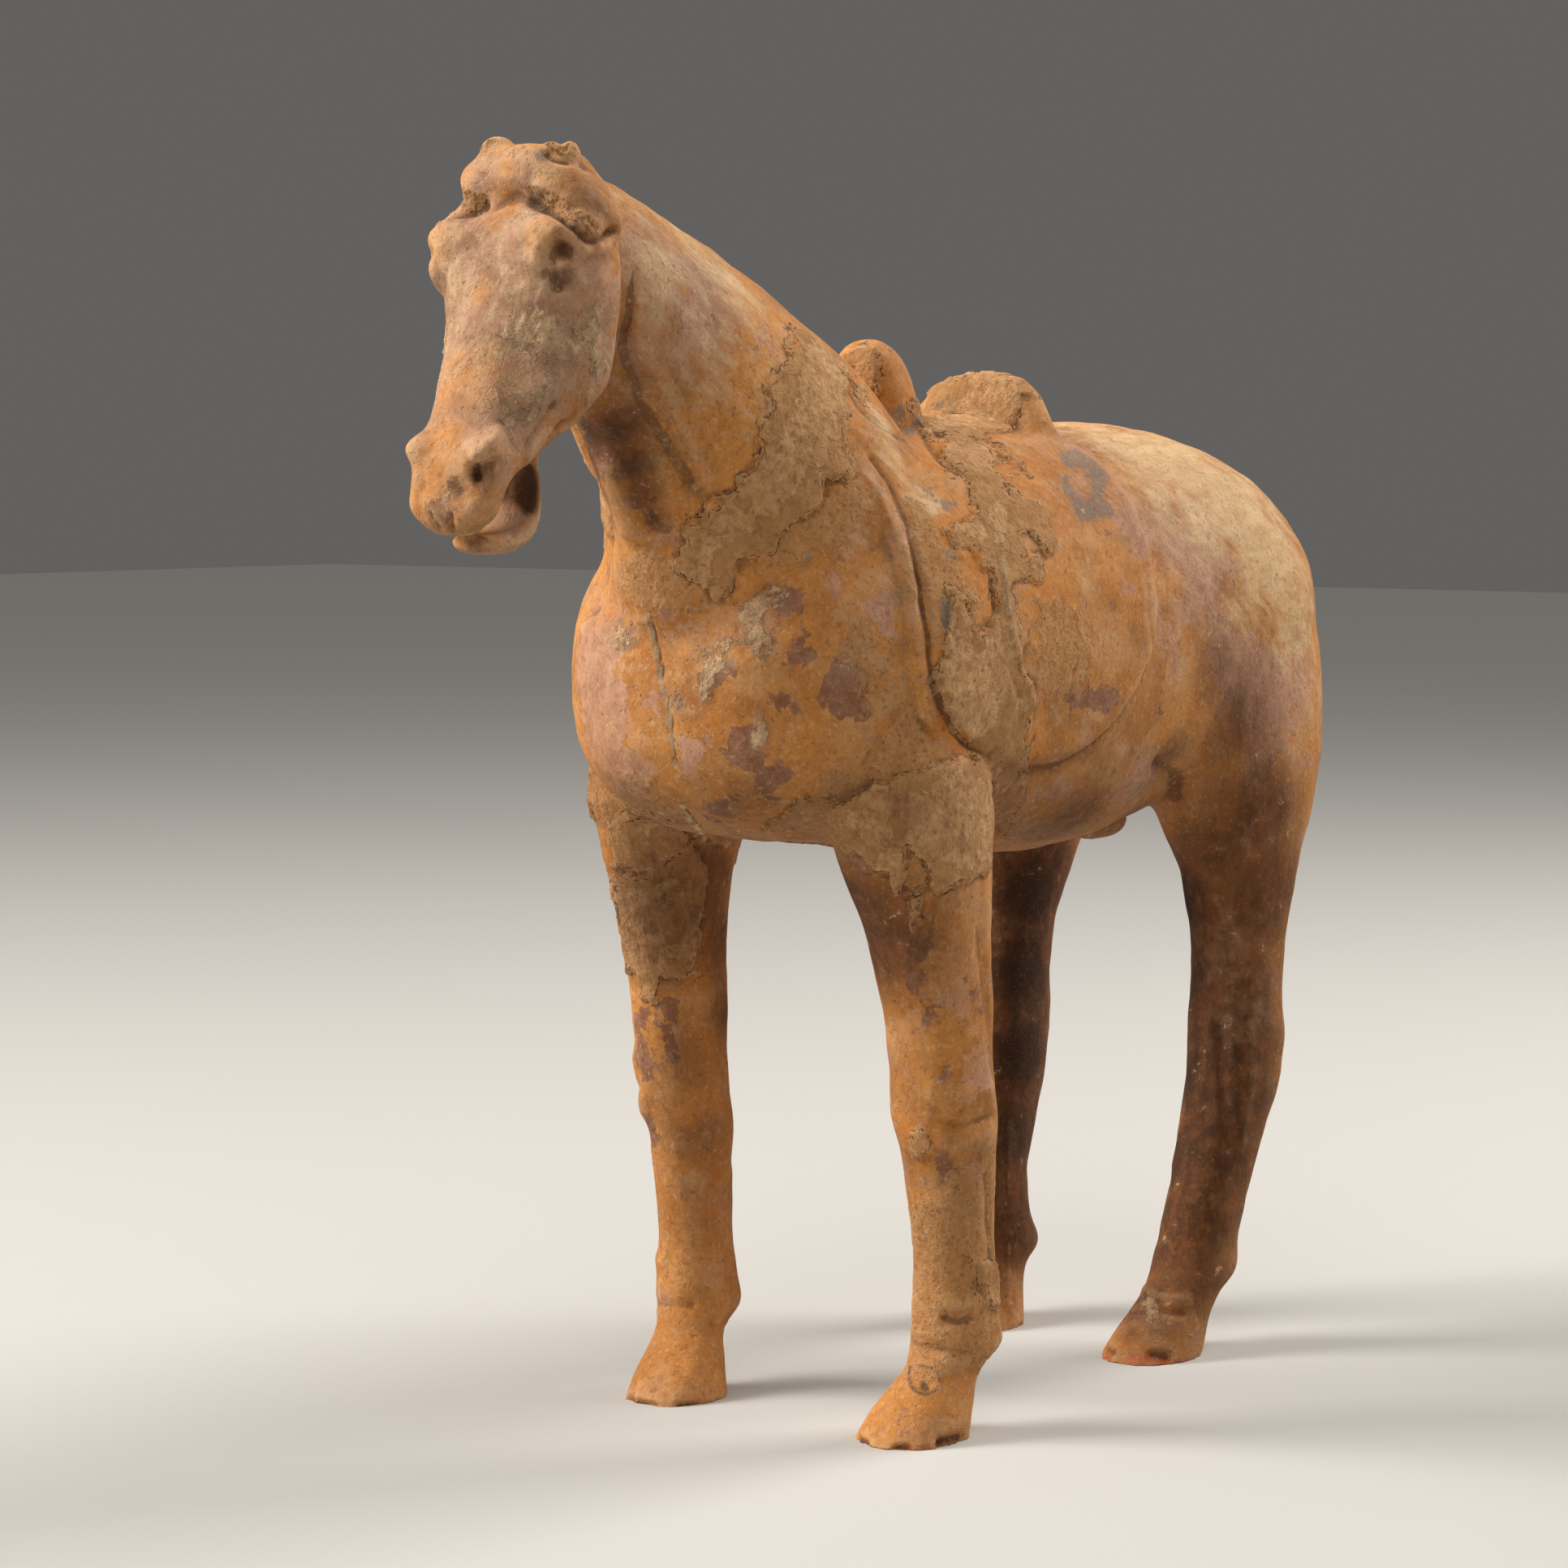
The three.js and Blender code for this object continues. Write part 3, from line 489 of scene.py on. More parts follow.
def picture(places):
    """Where places on the horse show in the photograph, in pixels, and their distance from the camera."""
    reach = places - eye
    far = -(reach @ backward)
    scale = per_mm * camera_distance / far
    middle = photo_side / 2
    return np.stack([middle + scale * (reach @ rightward), middle - scale * (reach @ upward)], 1), far


def smooth(low, high, value):
    """0 below low, 1 above high, and an even curve between."""
    t = np.clip((value - low) / (high - low), 0, 1)
    return t * t * (3 - 2 * t)


def rumple(places, size, seed):
    """Noise from about -1 to 1, in lumps of that size in millimetres."""
    shift = Vector((seed * 17.3, seed * 5.1, seed * 9.7))
    return np.array([noise.noise(Vector(p) / size + shift) for p in places.tolist()])


def chips(places, size, seed):
    """A steady value from about -1 to 1 for each flake of a broken layer, in flakes of that size."""
    shift = Vector((seed * 7.7, seed * 3.1, seed * 11.9))
    found = []
    for p in places.tolist():
        middle = noise.voronoi(Vector(p) / size + shift)[1][0]
        found.append(noise.noise(middle * 9.7))
    return np.array(found) * 2


def mirrored(places):
    """The same places on the horse's other side."""
    return places * np.array([-1.0, 1.0, 1.0])


class Surface:
    """The horse's skin as arrays in millimetres, shaped by moving its points."""

    def __init__(self, mesh):
        self.mesh = mesh
        count = len(mesh.vertices)
        flat = np.empty(count * 3)
        mesh.vertices.foreach_get("co", flat)
        self.places = flat.reshape(-1, 3) * 1000
        ends = np.empty(len(mesh.edges) * 2, np.int64)
        mesh.edges.foreach_get("vertices", ends)
        self.ends = ends.reshape(-1, 2)
        self.degree = np.bincount(self.ends.ravel(), minlength=count).clip(1)

    def write(self):
        """Puts the points back into the mesh."""
        self.mesh.vertices.foreach_set("co", (self.places / 1000).ravel())
        self.mesh.update()

    def normals(self):
        """Which way the surface faces at each point."""
        self.write()
        flat = np.empty(len(self.places) * 3, np.float32)
        self.mesh.vertex_normals.foreach_get("vector", flat)
        return flat.reshape(-1, 3).astype(float)

    def averaged(self, places):
        """The middle of each point's neighbours."""
        a, b = self.ends.T
        count = len(places)
        axes = []
        for values in places.T:
            total = np.bincount(a, values[b], count) + np.bincount(b, values[a], count)
            axes.append(total / self.degree)
        return np.stack(axes, 1)

    def relax(self, strength, rounds):
        """Evens the surface out. What a second helping would shrink is given back."""
        def once(places):
            for _ in range(rounds):
                places = places + (self.averaged(places) - places) * strength[:, None] * 0.5
            return places
        first = once(self.places)
        self.places = 2 * first - once(first)

    def lift(self, heights):
        """Moves points out along the way they face."""
        self.places = self.places + self.normals() * heights[:, None]

    def nibble(self, depths):
        """Moves points in from the side only, so that the soles stay flat."""
        sideways = self.normals() * np.array([1.0, 1.0, 0.0])
        self.places = self.places + sideways * depths[:, None]

    def hollows(self, rounds):
        """How far the surface round each point stands above it, in millimetres."""
        mean = self.places
        for _ in range(rounds):
            mean = self.averaged(mean)
        return ((mean - self.places) * self.normals()).sum(1)

    def seen(self):
        """1 where the camera sees the surface face on, 0 where it is turned away or hidden."""
        at, far = picture(self.places)
        facing = ((eye - self.places) / far[:, None] * self.normals()).sum(1)
        cell = np.clip((at / cell_side).astype(int), 0, cells - 2)
        nearest = np.full((cells, cells), np.inf)
        np.minimum.at(nearest, (cell[:, 0], cell[:, 1]), far)
        steps = (-1, 0, 1)
        around = np.minimum.reduce([np.roll(nearest, (i, j), (0, 1)) for i in steps for j in steps])
        behind = far - around[cell[:, 0], cell[:, 1]]
        return smooth(0.0, face_on, facing) * (1 - smooth(*hidden, behind))


def inside(at, outline):
    """How far points are inside an outline on the photograph, in millimetres. Outside it is below nothing."""
    low, top = np.min(outline, 0) - margin, np.max(outline, 0) + margin
    near = ((at > low) & (at < top)).all(1)
    result = np.full(len(at), -margin / per_mm)
    at = at[near]
    least = np.full(len(at), np.inf)
    odd = np.zeros(len(at), bool)
    x, y = at.T
    for p, q in zip(outline, outline[1:] + outline[:1]):
        start, run = np.array(p, float), np.subtract(q, p).astype(float)
        share = np.clip(((at - start) @ run) / (run @ run), 0, 1)
        least = np.minimum(least, ((at - start - share[:, None] * run) ** 2).sum(1))
        if p[1] != q[1]:
            crossing = (q[0] - p[0]) * (y - p[1]) / (q[1] - p[1]) + p[0]
            odd ^= ((p[1] > y) != (q[1] > y)) & (x < crossing)
    result[near] = np.where(odd, 1, -1) * np.sqrt(least) / per_mm
    return np.maximum(result, -margin / per_mm)


def from_line(places, line):
    """Distance in millimetres to a line through points on the surface, and the share of its length there."""
    least = np.full(len(places), np.inf)
    share = np.zeros(len(places))
    steps = np.linalg.norm(np.diff(line, axis=0), axis=1)
    total, gone = steps.sum(), 0.0
    for p, q, step in zip(line, line[1:], steps):
        run = q - p
        t = np.clip(((places - p) @ run) / max(run @ run, 1e-9), 0, 1)
        away = ((places - p - t[:, None] * run) ** 2).sum(1)
        nearer = away < least
        share[nearer] = ((gone + t * step) / total)[nearer]
        least = np.minimum(least, away)
        gone += step
    return np.sqrt(least), share


def dense(points):
    """More points along a line in the photograph, a few pixels apart."""
    made = []
    for p, q in zip(points, points[1:]):
        count = max(1, int(math.dist(p, q) / point_gap))
        made += [(p[0] + (q[0] - p[0]) * i / count, p[1] + (q[1] - p[1]) * i / count) for i in range(count)]
    return np.array(made + [points[-1]], float)


def laid(surface, seen, points, behind=None):
    """Points of the photograph, laid on the part of the horse that shows there and evened into a line."""
    at, _ = picture(surface.places)
    allowed = seen > least_seen
    if behind is not None:
        allowed &= surface.places[:, 1] > behind
    at, places = at[allowed], surface.places[allowed]
    found = []
    for p in points:
        away = ((at - p) ** 2).sum(1)
        found.append(places[np.argsort(away)[:nearest_few]].mean(0))
    line = np.array(found)
    if len(line) > nearest_few:
        for _ in range(even_rounds):
            line[1:-1] = (line[:-2] + 2 * line[1:-1] + line[2:]) / 4
    return line


def clay_skin():
    """A close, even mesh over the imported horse."""
    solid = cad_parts["horse"]
    mesh = solid.data.copy()
    bm = bmesh.new()
    bm.from_mesh(mesh)
    bmesh.ops.remove_doubles(bm, verts=bm.verts, dist=1e-6)
    bm.to_mesh(mesh)
    bm.free()
    made = placed("tomb_horse", mesh, (0, 0, 0))
    remesh = made.modifiers.new("even", "REMESH")
    remesh.mode = "VOXEL"
    remesh.voxel_size = voxel / 1000
    remesh.adaptivity = 0
    applied(made)
    made.data.materials.clear()
    return made


def applied(thing):
    """Makes an object's modifiers part of its mesh."""
    depsgraph = bpy.context.evaluated_depsgraph_get()
    made = bpy.data.meshes.new_from_object(thing.evaluated_get(depsgraph), depsgraph=depsgraph)
    thing.modifiers.clear()
    before, thing.data = thing.data, made
    bpy.data.meshes.remove(before)


def patches(surface, outlines, seen, warp, windows, shrink):
    """How far inside the outlines and outside the windows each point is, on the far side as on this one."""
    def sides(places):
        at, _ = picture(places)
        best = np.maximum.reduce([inside(at, outline) for outline in outlines])
        for window in windows:
            best = np.minimum(best, -inside(at, window))
        return best
    places = surface.places + warp
    far = surface.places[:, 0] < 0
    turned = np.full(len(places), no_layer)
    turned[far] = sides(mirrored(places[far])) - shrink
    return sides(places) * seen + turned * (1 - seen)


def spots(surface, seen, table):
    """Broad soft tones about points of the photograph, and about the same points on the other side."""
    total = np.zeros(len(surface.places))
    for u, v, reach, strength in table:
        middle = laid(surface, seen, [(u, v)])[0]
        far_share = small_spot_share if reach <= small_spot else 1.0
        for place, share in ((middle, 1.0), (mirrored(middle), far_share)):
            away = np.linalg.norm(surface.places - place, axis=1) / reach
            total = np.maximum(total, share * strength * np.exp(-away ** 2))
    return total


def stroked(surface, lines, warp, of):
    """What all lines together lay at each point: height, chipping, dark fill that is partly mud and partly
    painted shade, or pale mud.
    """
    total = np.zeros(len(surface.places))
    for each in lines:
        if not each.get(of):
            continue
        wide = each["wide"]
        places = surface.places + warp * each.get("wander", 0)
        for sign in each["sides"]:
            turned = each["line"] * np.array([sign, 1.0, 1.0])
            low, top = turned.min(0) - line_reach * wide, turned.max(0) + line_reach * wide
            near = ((places > low) & (places < top)).all(1)
            if not near.any():
                continue
            away, share = from_line(places[near], turned)
            whole = each.get("blunt") or each.get("power")
            fade = 1.0 if whole else smooth(0, line_fade, share) * (1 - smooth(1 - line_fade, 1, share))
            total[near] += each[of] * np.exp(-(away / wide) ** each.get("power", 2)) * fade
    return total


def firmness(places):
    """How strongly the solid's facets are evened out: less on the head, the saddle and the legs."""
    x, y, z = places.T
    on_head = 1 - smooth(*head_end, y)
    on_saddle = smooth(*saddle_foot, z) * smooth(*saddle_front, y) * (1 - smooth(*saddle_back, y))
    on_leg = 1 - smooth(*leg_top, z)
    from_eye = np.linalg.norm(np.stack([abs(x), y, z], 1) - eye_middle, axis=1)
    from_nostril = np.linalg.norm(places - far_nostril, axis=1)
    even = np.maximum(np.exp(-(from_eye / eye_reach) ** 2), np.exp(-(from_nostril / nostril_reach) ** 2))
    firm = evenness - head_less * on_head * (1 - even) - saddle_less * on_saddle * (1 - on_head)
    return (firm - leg_less * on_leg) * smooth(*hoof_edge, z)


def shaped(horse):
    """Carves the horse's skin and keeps its finishes, and where shade is to be painted, as attributes."""
    surface = Surface(horse.data)
    surface.relax(firmness(surface.places), smoothing_rounds)
    seen = surface.seen()
    lines = [{**each, "line": laid(surface, seen, dense(each["at"]), each.get("behind"))} for each in strokes]

    sway = [rumple(surface.places, sway_size, seed) for seed in (1, 2, 3)]
    ripple = [rumple(surface.places, ripple_size, seed) for seed in (4, 5, 6)]
    warp = np.stack(sway, 1) * sway_reach + np.stack(ripple, 1) * ripple_reach
    bent = surface.places + warp * 0.6
    broken = chips(bent, large_flake, 21) + chips(bent, small_flake, 22) * 0.5
    fields = {}
    for name, (outlines, windows, wander, breaks, shrink) in layers.items():
        inward = patches(surface, outlines, seen, warp * wander, windows, shrink)
        fields[name] = inward + broken * breaks
    for name, table in tones.items():
        fields[name] = spots(surface, seen, table)
    # dark fill in the lines, partly mud and partly painted shade
    fields["groove_mud_and_shade"] = stroked(surface, lines, warp, "mud")
    fields["bead"] = stroked(surface, lines, warp, "bead")
    down = -surface.normals()[:, 2]
    # painted shade on surfaces that face down, from the belly up
    fields["under"] = smooth(*facing_down, down) * smooth(*belly, surface.places[:, 2])

    height = stroked(surface, lines, warp, "high")
    swells = rumple(surface.places, swell_size, 7) * swell_height
    height += swells + rumple(surface.places, dimple_size, 8) * dimple_height
    for name, low, top, steady, lumps, size, seed in relief:
        lump = lumps * rumple(surface.places, size, seed) if lumps else 0
        height += smooth(low, top, fields[name]) * (steady + lump)
    surface.lift(height * smooth(sole, above_sole, surface.places[:, 2]))
    surface.nibble(stroked(surface, lines, warp, "chip"))
    surface.places[:, 2] = np.where(surface.places[:, 2] < sole, 0, surface.places[:, 2])
    # how deep each point sits in a hollow, for painted shade there
    fields["hollow_shade"] = surface.hollows(hollow_rounds)
    surface.write()
    for name, values in fields.items():
        kept = horse.data.attributes.new(name, "FLOAT", "POINT")
        kept.data.foreach_set("value", values.astype(np.float32))
    thin = horse.modifiers.new("thin", "DECIMATE")
    thin.ratio = most_triangles / sum(len(p.vertices) - 2 for p in horse.data.polygons)
    applied(horse)
    for polygon in horse.data.polygons:
        polygon.use_smooth = True
    return horse


def colour(red, green, blue):
    """A colour as a shader wants it, from the way a paint chart gives it."""
    def linear(part):
        part /= 255
        return part / 12.92 if part <= 0.04045 else ((part + 0.055) / 1.055) ** 2.4
    return (linear(red), linear(green), linear(blue), 1.0)


class Amount:
    """A number that varies over the clay, so that masks are written as sums."""

    def __init__(self, finish, socket):
        self.finish = finish
        self.socket = socket

    def __add__(self, other):
        return self.finish.math("ADD", self, other)

    def __sub__(self, other):
        return self.finish.math("SUBTRACT", self, other)

    def __rsub__(self, other):
        return self.finish.math("SUBTRACT", other, self)

    def __mul__(self, other):
        return self.finish.math("MULTIPLY", self, other)

    __radd__ = __add__
    __rmul__ = __mul__

    def over(self, low, high):
        """0 below low and 1 above high."""
        sockets = {"Value": self, "From Min": low, "From Max": high, "To Min": 0.0, "To Max": 1.0}
        return self.finish.node("MapRange", {"interpolation_type": "SMOOTHSTEP"}, sockets)

    def swing(self, by):
        """A noise as a swing to both sides of nothing."""
        return (self - 0.5) * by


class Finish:
    """One material and its nodes."""

    def __init__(self, name):
        self.material = bpy.data.materials.new(name)
        self.material.use_nodes = True
        self.tree = self.material.node_tree
        self.tree.nodes.clear()

    def node(self, kind, settings, sockets, out=0):
        """Any node: its type, its settings, the values or links of its sockets, and the output used."""
        made = self.tree.nodes.new("ShaderNode" + kind)
        for name, value in settings.items():
            setattr(made, name, value)
        for key, value in sockets.items():
            if isinstance(value, Amount):
                self.tree.links.new(value.socket, made.inputs[key])
            else:
                made.inputs[key].default_value = value
        return Amount(self, made.outputs[out]) if made.outputs else None

    def math(self, operation, *values):
        return self.node("Math", {"operation": operation}, dict(enumerate(values)))

    def kept(self, name):
        """A field that was kept on the mesh."""
        return self.node("Attribute", {"attribute_name": name}, {}, 2)

    def mix(self, share, under, over):
        """One colour over another, by its share."""
        return self.node("Mix", {"data_type": "RGBA"}, {0: share, 6: under, 7: over}, 2)

    def between(self, share, first, second):
        """From the first colour to the second."""
        return self.mix(share, colour(*first), colour(*second))

    def noise(self, place, size, detail, rough=0.55):
        """Noise from 0 to 1, in lumps of that size in millimetres."""
        sockets = {"Vector": place, "Scale": 1000 / size, "Detail": detail, "Roughness": rough}
        return self.node("TexNoise", {}, sockets)

    def flakes(self, place, scale):
        """Cells, each with its own steady value that swings about nothing."""
        return self.node("TexVoronoi", {}, {"Vector": place, "Scale": scale}, 1) - 0.5

    def moved(self, place, shift, turn, scale=(1.0, 1.0, 1.0), kind="POINT"):
        """The same coordinates, moved, turned and stretched."""
        sockets = {"Vector": place, "Location": shift, "Rotation": turn, "Scale": scale}
        return self.node("Mapping", {"vector_type": kind}, sockets)


def fired_clay():
    """Ochre slip on fired clay, with bare mauve clay, mud, lime and fire-blackened stains where time left
    them, with painted shade in recesses, along crust edges, on undersides and where the horse lies in shadow,
    and painted highlights on crust lips and on the neck.
    """
    finish = Finish("fired_clay")
    kept, between = finish.kept, finish.between
    # Where the noises are read: turned and moved so that no two line up, and some of them drawn out along
    # the horse, upright or on a slope
    place = finish.node("TexCoord", {}, {}, 3)
    other = finish.moved(place, (0.31, 0.17, 0.53), (0.4, 0.2, 0.9))
    third = finish.moved(place, (0.71, 0.47, 0.13), (0.9, 0.5, 0.1))
    brush = finish.moved(place, (0.1, 0.2, 0.3), (0.5, 0.0, 0.2), (1.0, 0.25, 1.0))
    upright = finish.moved(place, (0.3, 0.6, 0.2), (0.0, 0.0, 0.0), (1.0, 1.0, 0.2))
    slope = finish.moved(place, (0.21, 0.37, 0.11), (-0.64, 0.0, 0.0), (1.0, 5.0, 1.0), "TEXTURE")

    # Noises, from broad patches down to single grains, with their sizes in millimetres
    broad = finish.noise(place, 42, 3)
    blotch = finish.noise(third, 22, 6, 0.6)
    middling = finish.noise(other, 11, 5, 0.6)
    ragged = finish.noise(third, 4.5, 6, 0.65)
    slanting = finish.noise(slope, 4.0, 5, 0.65)
    streaks = finish.noise(upright, 3.4, 5, 0.65)
    brushwork = finish.noise(brush, 3.0, 4, 0.6)
    grains = finish.noise(third, 2.3, 4, 0.7)
    speck = finish.noise(other, 1.1, 3, 0.6)
    fine = finish.noise(place, 0.45, 2, 0.6)
    wobble = ragged.swing(3.2)
    bent = finish.node("VectorMath", {"operation": "MULTIPLY_ADD"}, {
        0: finish.node("TexNoise", {}, {"Vector": other, "Scale": 220, "Detail": 3}, 1),
        1: (0.0022, 0.0022, 0.0022),
        2: place,
    })
    plates = finish.node("TexVoronoi", {"feature": "DISTANCE_TO_EDGE"}, {"Vector": bent, "Scale": 95})
    cracks = (1 - plates.over(0.006, 0.02)) * broad.over(0.56, 0.62)
    flakes = finish.flakes(bent, 300) * 5 + finish.flakes(bent, 720) * 2

    # Layers with an edge: the kept fields are millimetres in from their outlines
    crust_edge = kept("crust") + wobble * 0.5 + flakes * 0.7
    crust = crust_edge.over(-0.08, 0.08)
    # painted shadow just outside the crust's edge
    crust_edge_shadow = crust_edge.over(-0.7, -0.05) * (1 - crust)
    # painted highlight along the crust's lifted lip
    crust_lip_highlight = crust * (1 - crust_edge.over(0.2, 0.9))
    fresh = crust_edge.over(-9, -1) * (1 - crust) * blotch.over(0.42, 0.55)
    upper_edge = kept("crust") * 0.2 + blotch.swing(14) + ragged.swing(2)
    upper = upper_edge.over(0.5, 0.62) * crust
    # painted shadow along the step of the upper layer of mud
    upper_edge_shadow = upper_edge.over(0.1, 0.5) * (1 - upper) * crust * middling.over(0.4, 0.6)
    film = (kept("film") + wobble * 1.2 + flakes + middling.swing(9)).over(-0.4, 0.5)
    lime_edge = kept("lime") * 0.5 + wobble * 0.7 + flakes * 0.3 + grains.swing(5) + 0.25
    lime = lime_edge.over(0.1, 0.5)
    lime_halo = lime_edge.over(-1.2, 0.1)
    lilac = (kept("lilac") - 0.3 + wobble * 1.1 + flakes * 0.7 + middling.swing(8)).over(-0.15, 0.2)
    plum = kept("plum") + wobble * 1.1 + flakes * 0.7 + middling.swing(6) + slanting.swing(3)
    plum = plum.over(-0.15, 0.3)
    slate = (kept("slate") + wobble * 1.2 + grains.swing(6) + middling.swing(5)).over(-0.3, 0.4)
    raw = (kept("raw") + wobble * 0.8).over(-0.4, 0.3)
    rough = (kept("rough") + wobble).over(-0.5, 0.5)

    # Tones without an edge, and flecks
    crumbs = (kept("dust") * 0.2 + grains.swing(2) + ragged.swing(2) + middling.swing(2)).over(0.6, 0.72)
    flecks = finish.noise(other, 6.5, 5, 0.6).over(0.635, 0.655)
    flaked = (finish.noise(third, 13, 6, 0.62) + kept("pink") * 0.06).over(0.625, 0.64)
    pink = (kept("pink") + middling.swing(1.1) + slanting.swing(0.9)).over(0.3, 0.8)
    # cream slip, with painted light on the neck
    cream_and_painted_light = (kept("cream_and_painted_light") + slanting.swing(1.6) + middling.swing(1.0)).over(0.1, 1.0)
    ochre = (kept("ochre") + middling.swing(1.3) + blotch.swing(1.3)).over(0.15, 0.8)
    # soot, and painted shade where the horse lies in shadow
    soot_and_shade = (kept("soot_and_shade") + middling.swing(0.8) + ragged.swing(0.5)).over(0.1, 1.1)
    # darkest painted shade, with soot, where the spots are strongest
    deep_soot_and_shade = kept("soot_and_shade").over(1.0, 1.6)
    dust = kept("dust") * 0.45 + ragged.swing(1.6) + slanting.swing(1.4) + middling.swing(0.6)
    dust = dust.over(0.0, 0.9)
    bead = (kept("bead") + ragged.swing(2.4) + grains.swing(1.6)).over(0.4, 0.65)
    # dark fill in the lines, partly mud and partly painted shade
    groove_mud_and_shade = (kept("groove_mud_and_shade") + speck.swing(0.5) + middling.swing(0.6)).over(0.3, 0.9)
    # painted shade in hollows
    hollow_shade = (kept("hollow_shade") * 2.2 + ragged.swing(0.6)).over(0.15, 0.8)
    ridge = (kept("hollow_shade") * -2.2 + ragged.swing(0.8)).over(0.2, 1.1)

    # Colours of each layer
    slip = between(broad.over(0.35, 0.65), (170, 108, 46), (196, 130, 62))
    bright_slip = between(grains.over(0.3, 0.7), (190, 122, 52), (206, 142, 74))
    pink_clay = between(middling.over(0.3, 0.7), (178, 128, 100), (206, 158, 126))
    dull_clay = between(middling.over(0.3, 0.7), (138, 104, 84), (172, 134, 110))
    lilac_clay = between(ragged.over(0.35, 0.65), (168, 122, 100), (190, 144, 118))
    plum_clay = between(ragged.over(0.35, 0.65), (114, 74, 58), (148, 104, 82))
    cream_slip_and_painted_light = between(brushwork.over(0.35, 0.65), (206, 170, 124), (226, 192, 148))
    # brown of soot, also used for painted shade
    soot_and_shade_brown = between(ragged.over(0.35, 0.7), (66, 35, 13), (112, 63, 26))
    mud = between(ragged.over(0.3, 0.7), (160, 113, 66), (192, 145, 95))
    upper_mud = between(grains.over(0.35, 0.65), (174, 128, 84), (206, 162, 114))
    crack_mud = between(ragged.over(0.3, 0.6), (124, 100, 76), (178, 148, 112))
    lime_clay = between(ragged.over(0.35, 0.65), (166, 132, 98), (206, 172, 132))

    def coated(paint, coats):
        """Lays coats over a paint, one after another, each with the share of it that covers."""
        for share, coat in coats:
            paint = finish.mix(share, paint, coat if isinstance(coat, Amount) else colour(*coat))
        return paint

    slip = coated(slip, [
        (middling.over(0.4, 0.75), (204, 148, 90)),
        (blotch.over(0.5, 0.62) * 0.55, (156, 104, 58)),
        ((1 - blotch.over(0.38, 0.46)) * 0.45, (196, 148, 104)),
        (brushwork.over(0.45, 0.75) * 0.3, (150, 98, 54)),
        (fresh * 0.6, (204, 126, 46)),
    ])
    pink_clay = coated(pink_clay, [
        (kept("dust").over(0.3, 1.0), dull_clay),
        (blotch.over(0.4, 0.6) * 0.5, (150, 112, 88)),
    ])
    mud = coated(mud, [
        (upper, upper_mud),
        (middling.over(0.35, 0.7) * 0.6, (178, 128, 78)),
        # painted highlight on the crust's lip
        (crust_lip_highlight * 0.4, (206, 162, 112)),
        (speck.over(0.55, 0.72) * 0.4, (132, 92, 58)),
        (fine.over(0.66, 0.74) * blotch.over(0.45, 0.6) * 0.6, (226, 196, 158)),
    ])
    paint = coated(slip, [
        # bare clay, slip, stains, and soot with painted shade
        (pink * 0.85, pink_clay),
        (flaked * 0.6, lilac_clay),
        (flecks * 0.55, plum_clay),
        (lilac * 0.8, lilac_clay),
        (ochre * 0.75, bright_slip),
        (cream_and_painted_light * 0.85, cream_slip_and_painted_light),
        (plum * (0.62 + ragged * 0.45), plum_clay),
        (soot_and_shade * 0.88, soot_and_shade_brown),
        (dust * 0.4, (202, 168, 134)),
        # films of mud, breaks, painted shade in hollows, and ridges made paler
        (film * 0.65, mud),
        (film * (1 - speck.over(0.34, 0.46)) * 0.4, (98, 66, 40)),
        (raw * 0.9, (176, 88, 46)),
        (hollow_shade * 0.6, (92, 60, 38)),
        (ridge * 0.3, (214, 172, 128)),
        (rough * 0.85, mud),
        (rough * (1 - speck.over(0.38, 0.56)) * 0.6, (80, 50, 28)),
        # crust with a painted shadow along its edge, grey-blue paint, a painted shadow at the step of its
        # upper layer, cracks and lime
        (crust_edge_shadow * middling.over(0.32, 0.55) * 0.95, (64, 40, 22)),
        (crust, mud),
        (slate * 0.7, (112, 104, 98)),
        (upper_edge_shadow * 0.18, (100, 70, 44)),
        (cracks * (0.06 + film * 0.2) * grains.over(0.45, 0.6), (80, 54, 36)),
        (lime_halo * 0.3, (150, 118, 96)),
        (lime * 0.85, lime_clay),
        (crumbs * 0.5, lime_clay),
        # soot and painted shade over all of it, in streaks
        (soot_and_shade * 0.5, soot_and_shade_brown),
        (streaks.over(0.5, 0.66) * (0.12 + soot_and_shade * 0.4), (126, 74, 40)),
        ((1 - streaks.over(0.36, 0.46)) * (0.1 + soot_and_shade * 0.3), (62, 38, 24)),
        (deep_soot_and_shade * 0.85, (46, 25, 8)),
        # painted shade on the undersides
        (kept("under") * 0.45, (84, 52, 28)),
        # mud and painted shade in lines, then light and dark grains
        (bead, crack_mud),
        (groove_mud_and_shade * 0.85, (76, 50, 34)),
        (grains.over(0.56, 0.68) * (1 - soot_and_shade) * 0.28, (216, 176, 132)),
        ((1 - grains.over(0.34, 0.44)) * 0.34, (106, 70, 46)),
        (speck.over(0.58, 0.72) * (0.35 - soot_and_shade * 0.25), (220, 184, 140)),
        ((1 - speck.over(0.28, 0.4)) * 0.45, (92, 62, 44)),
    ])

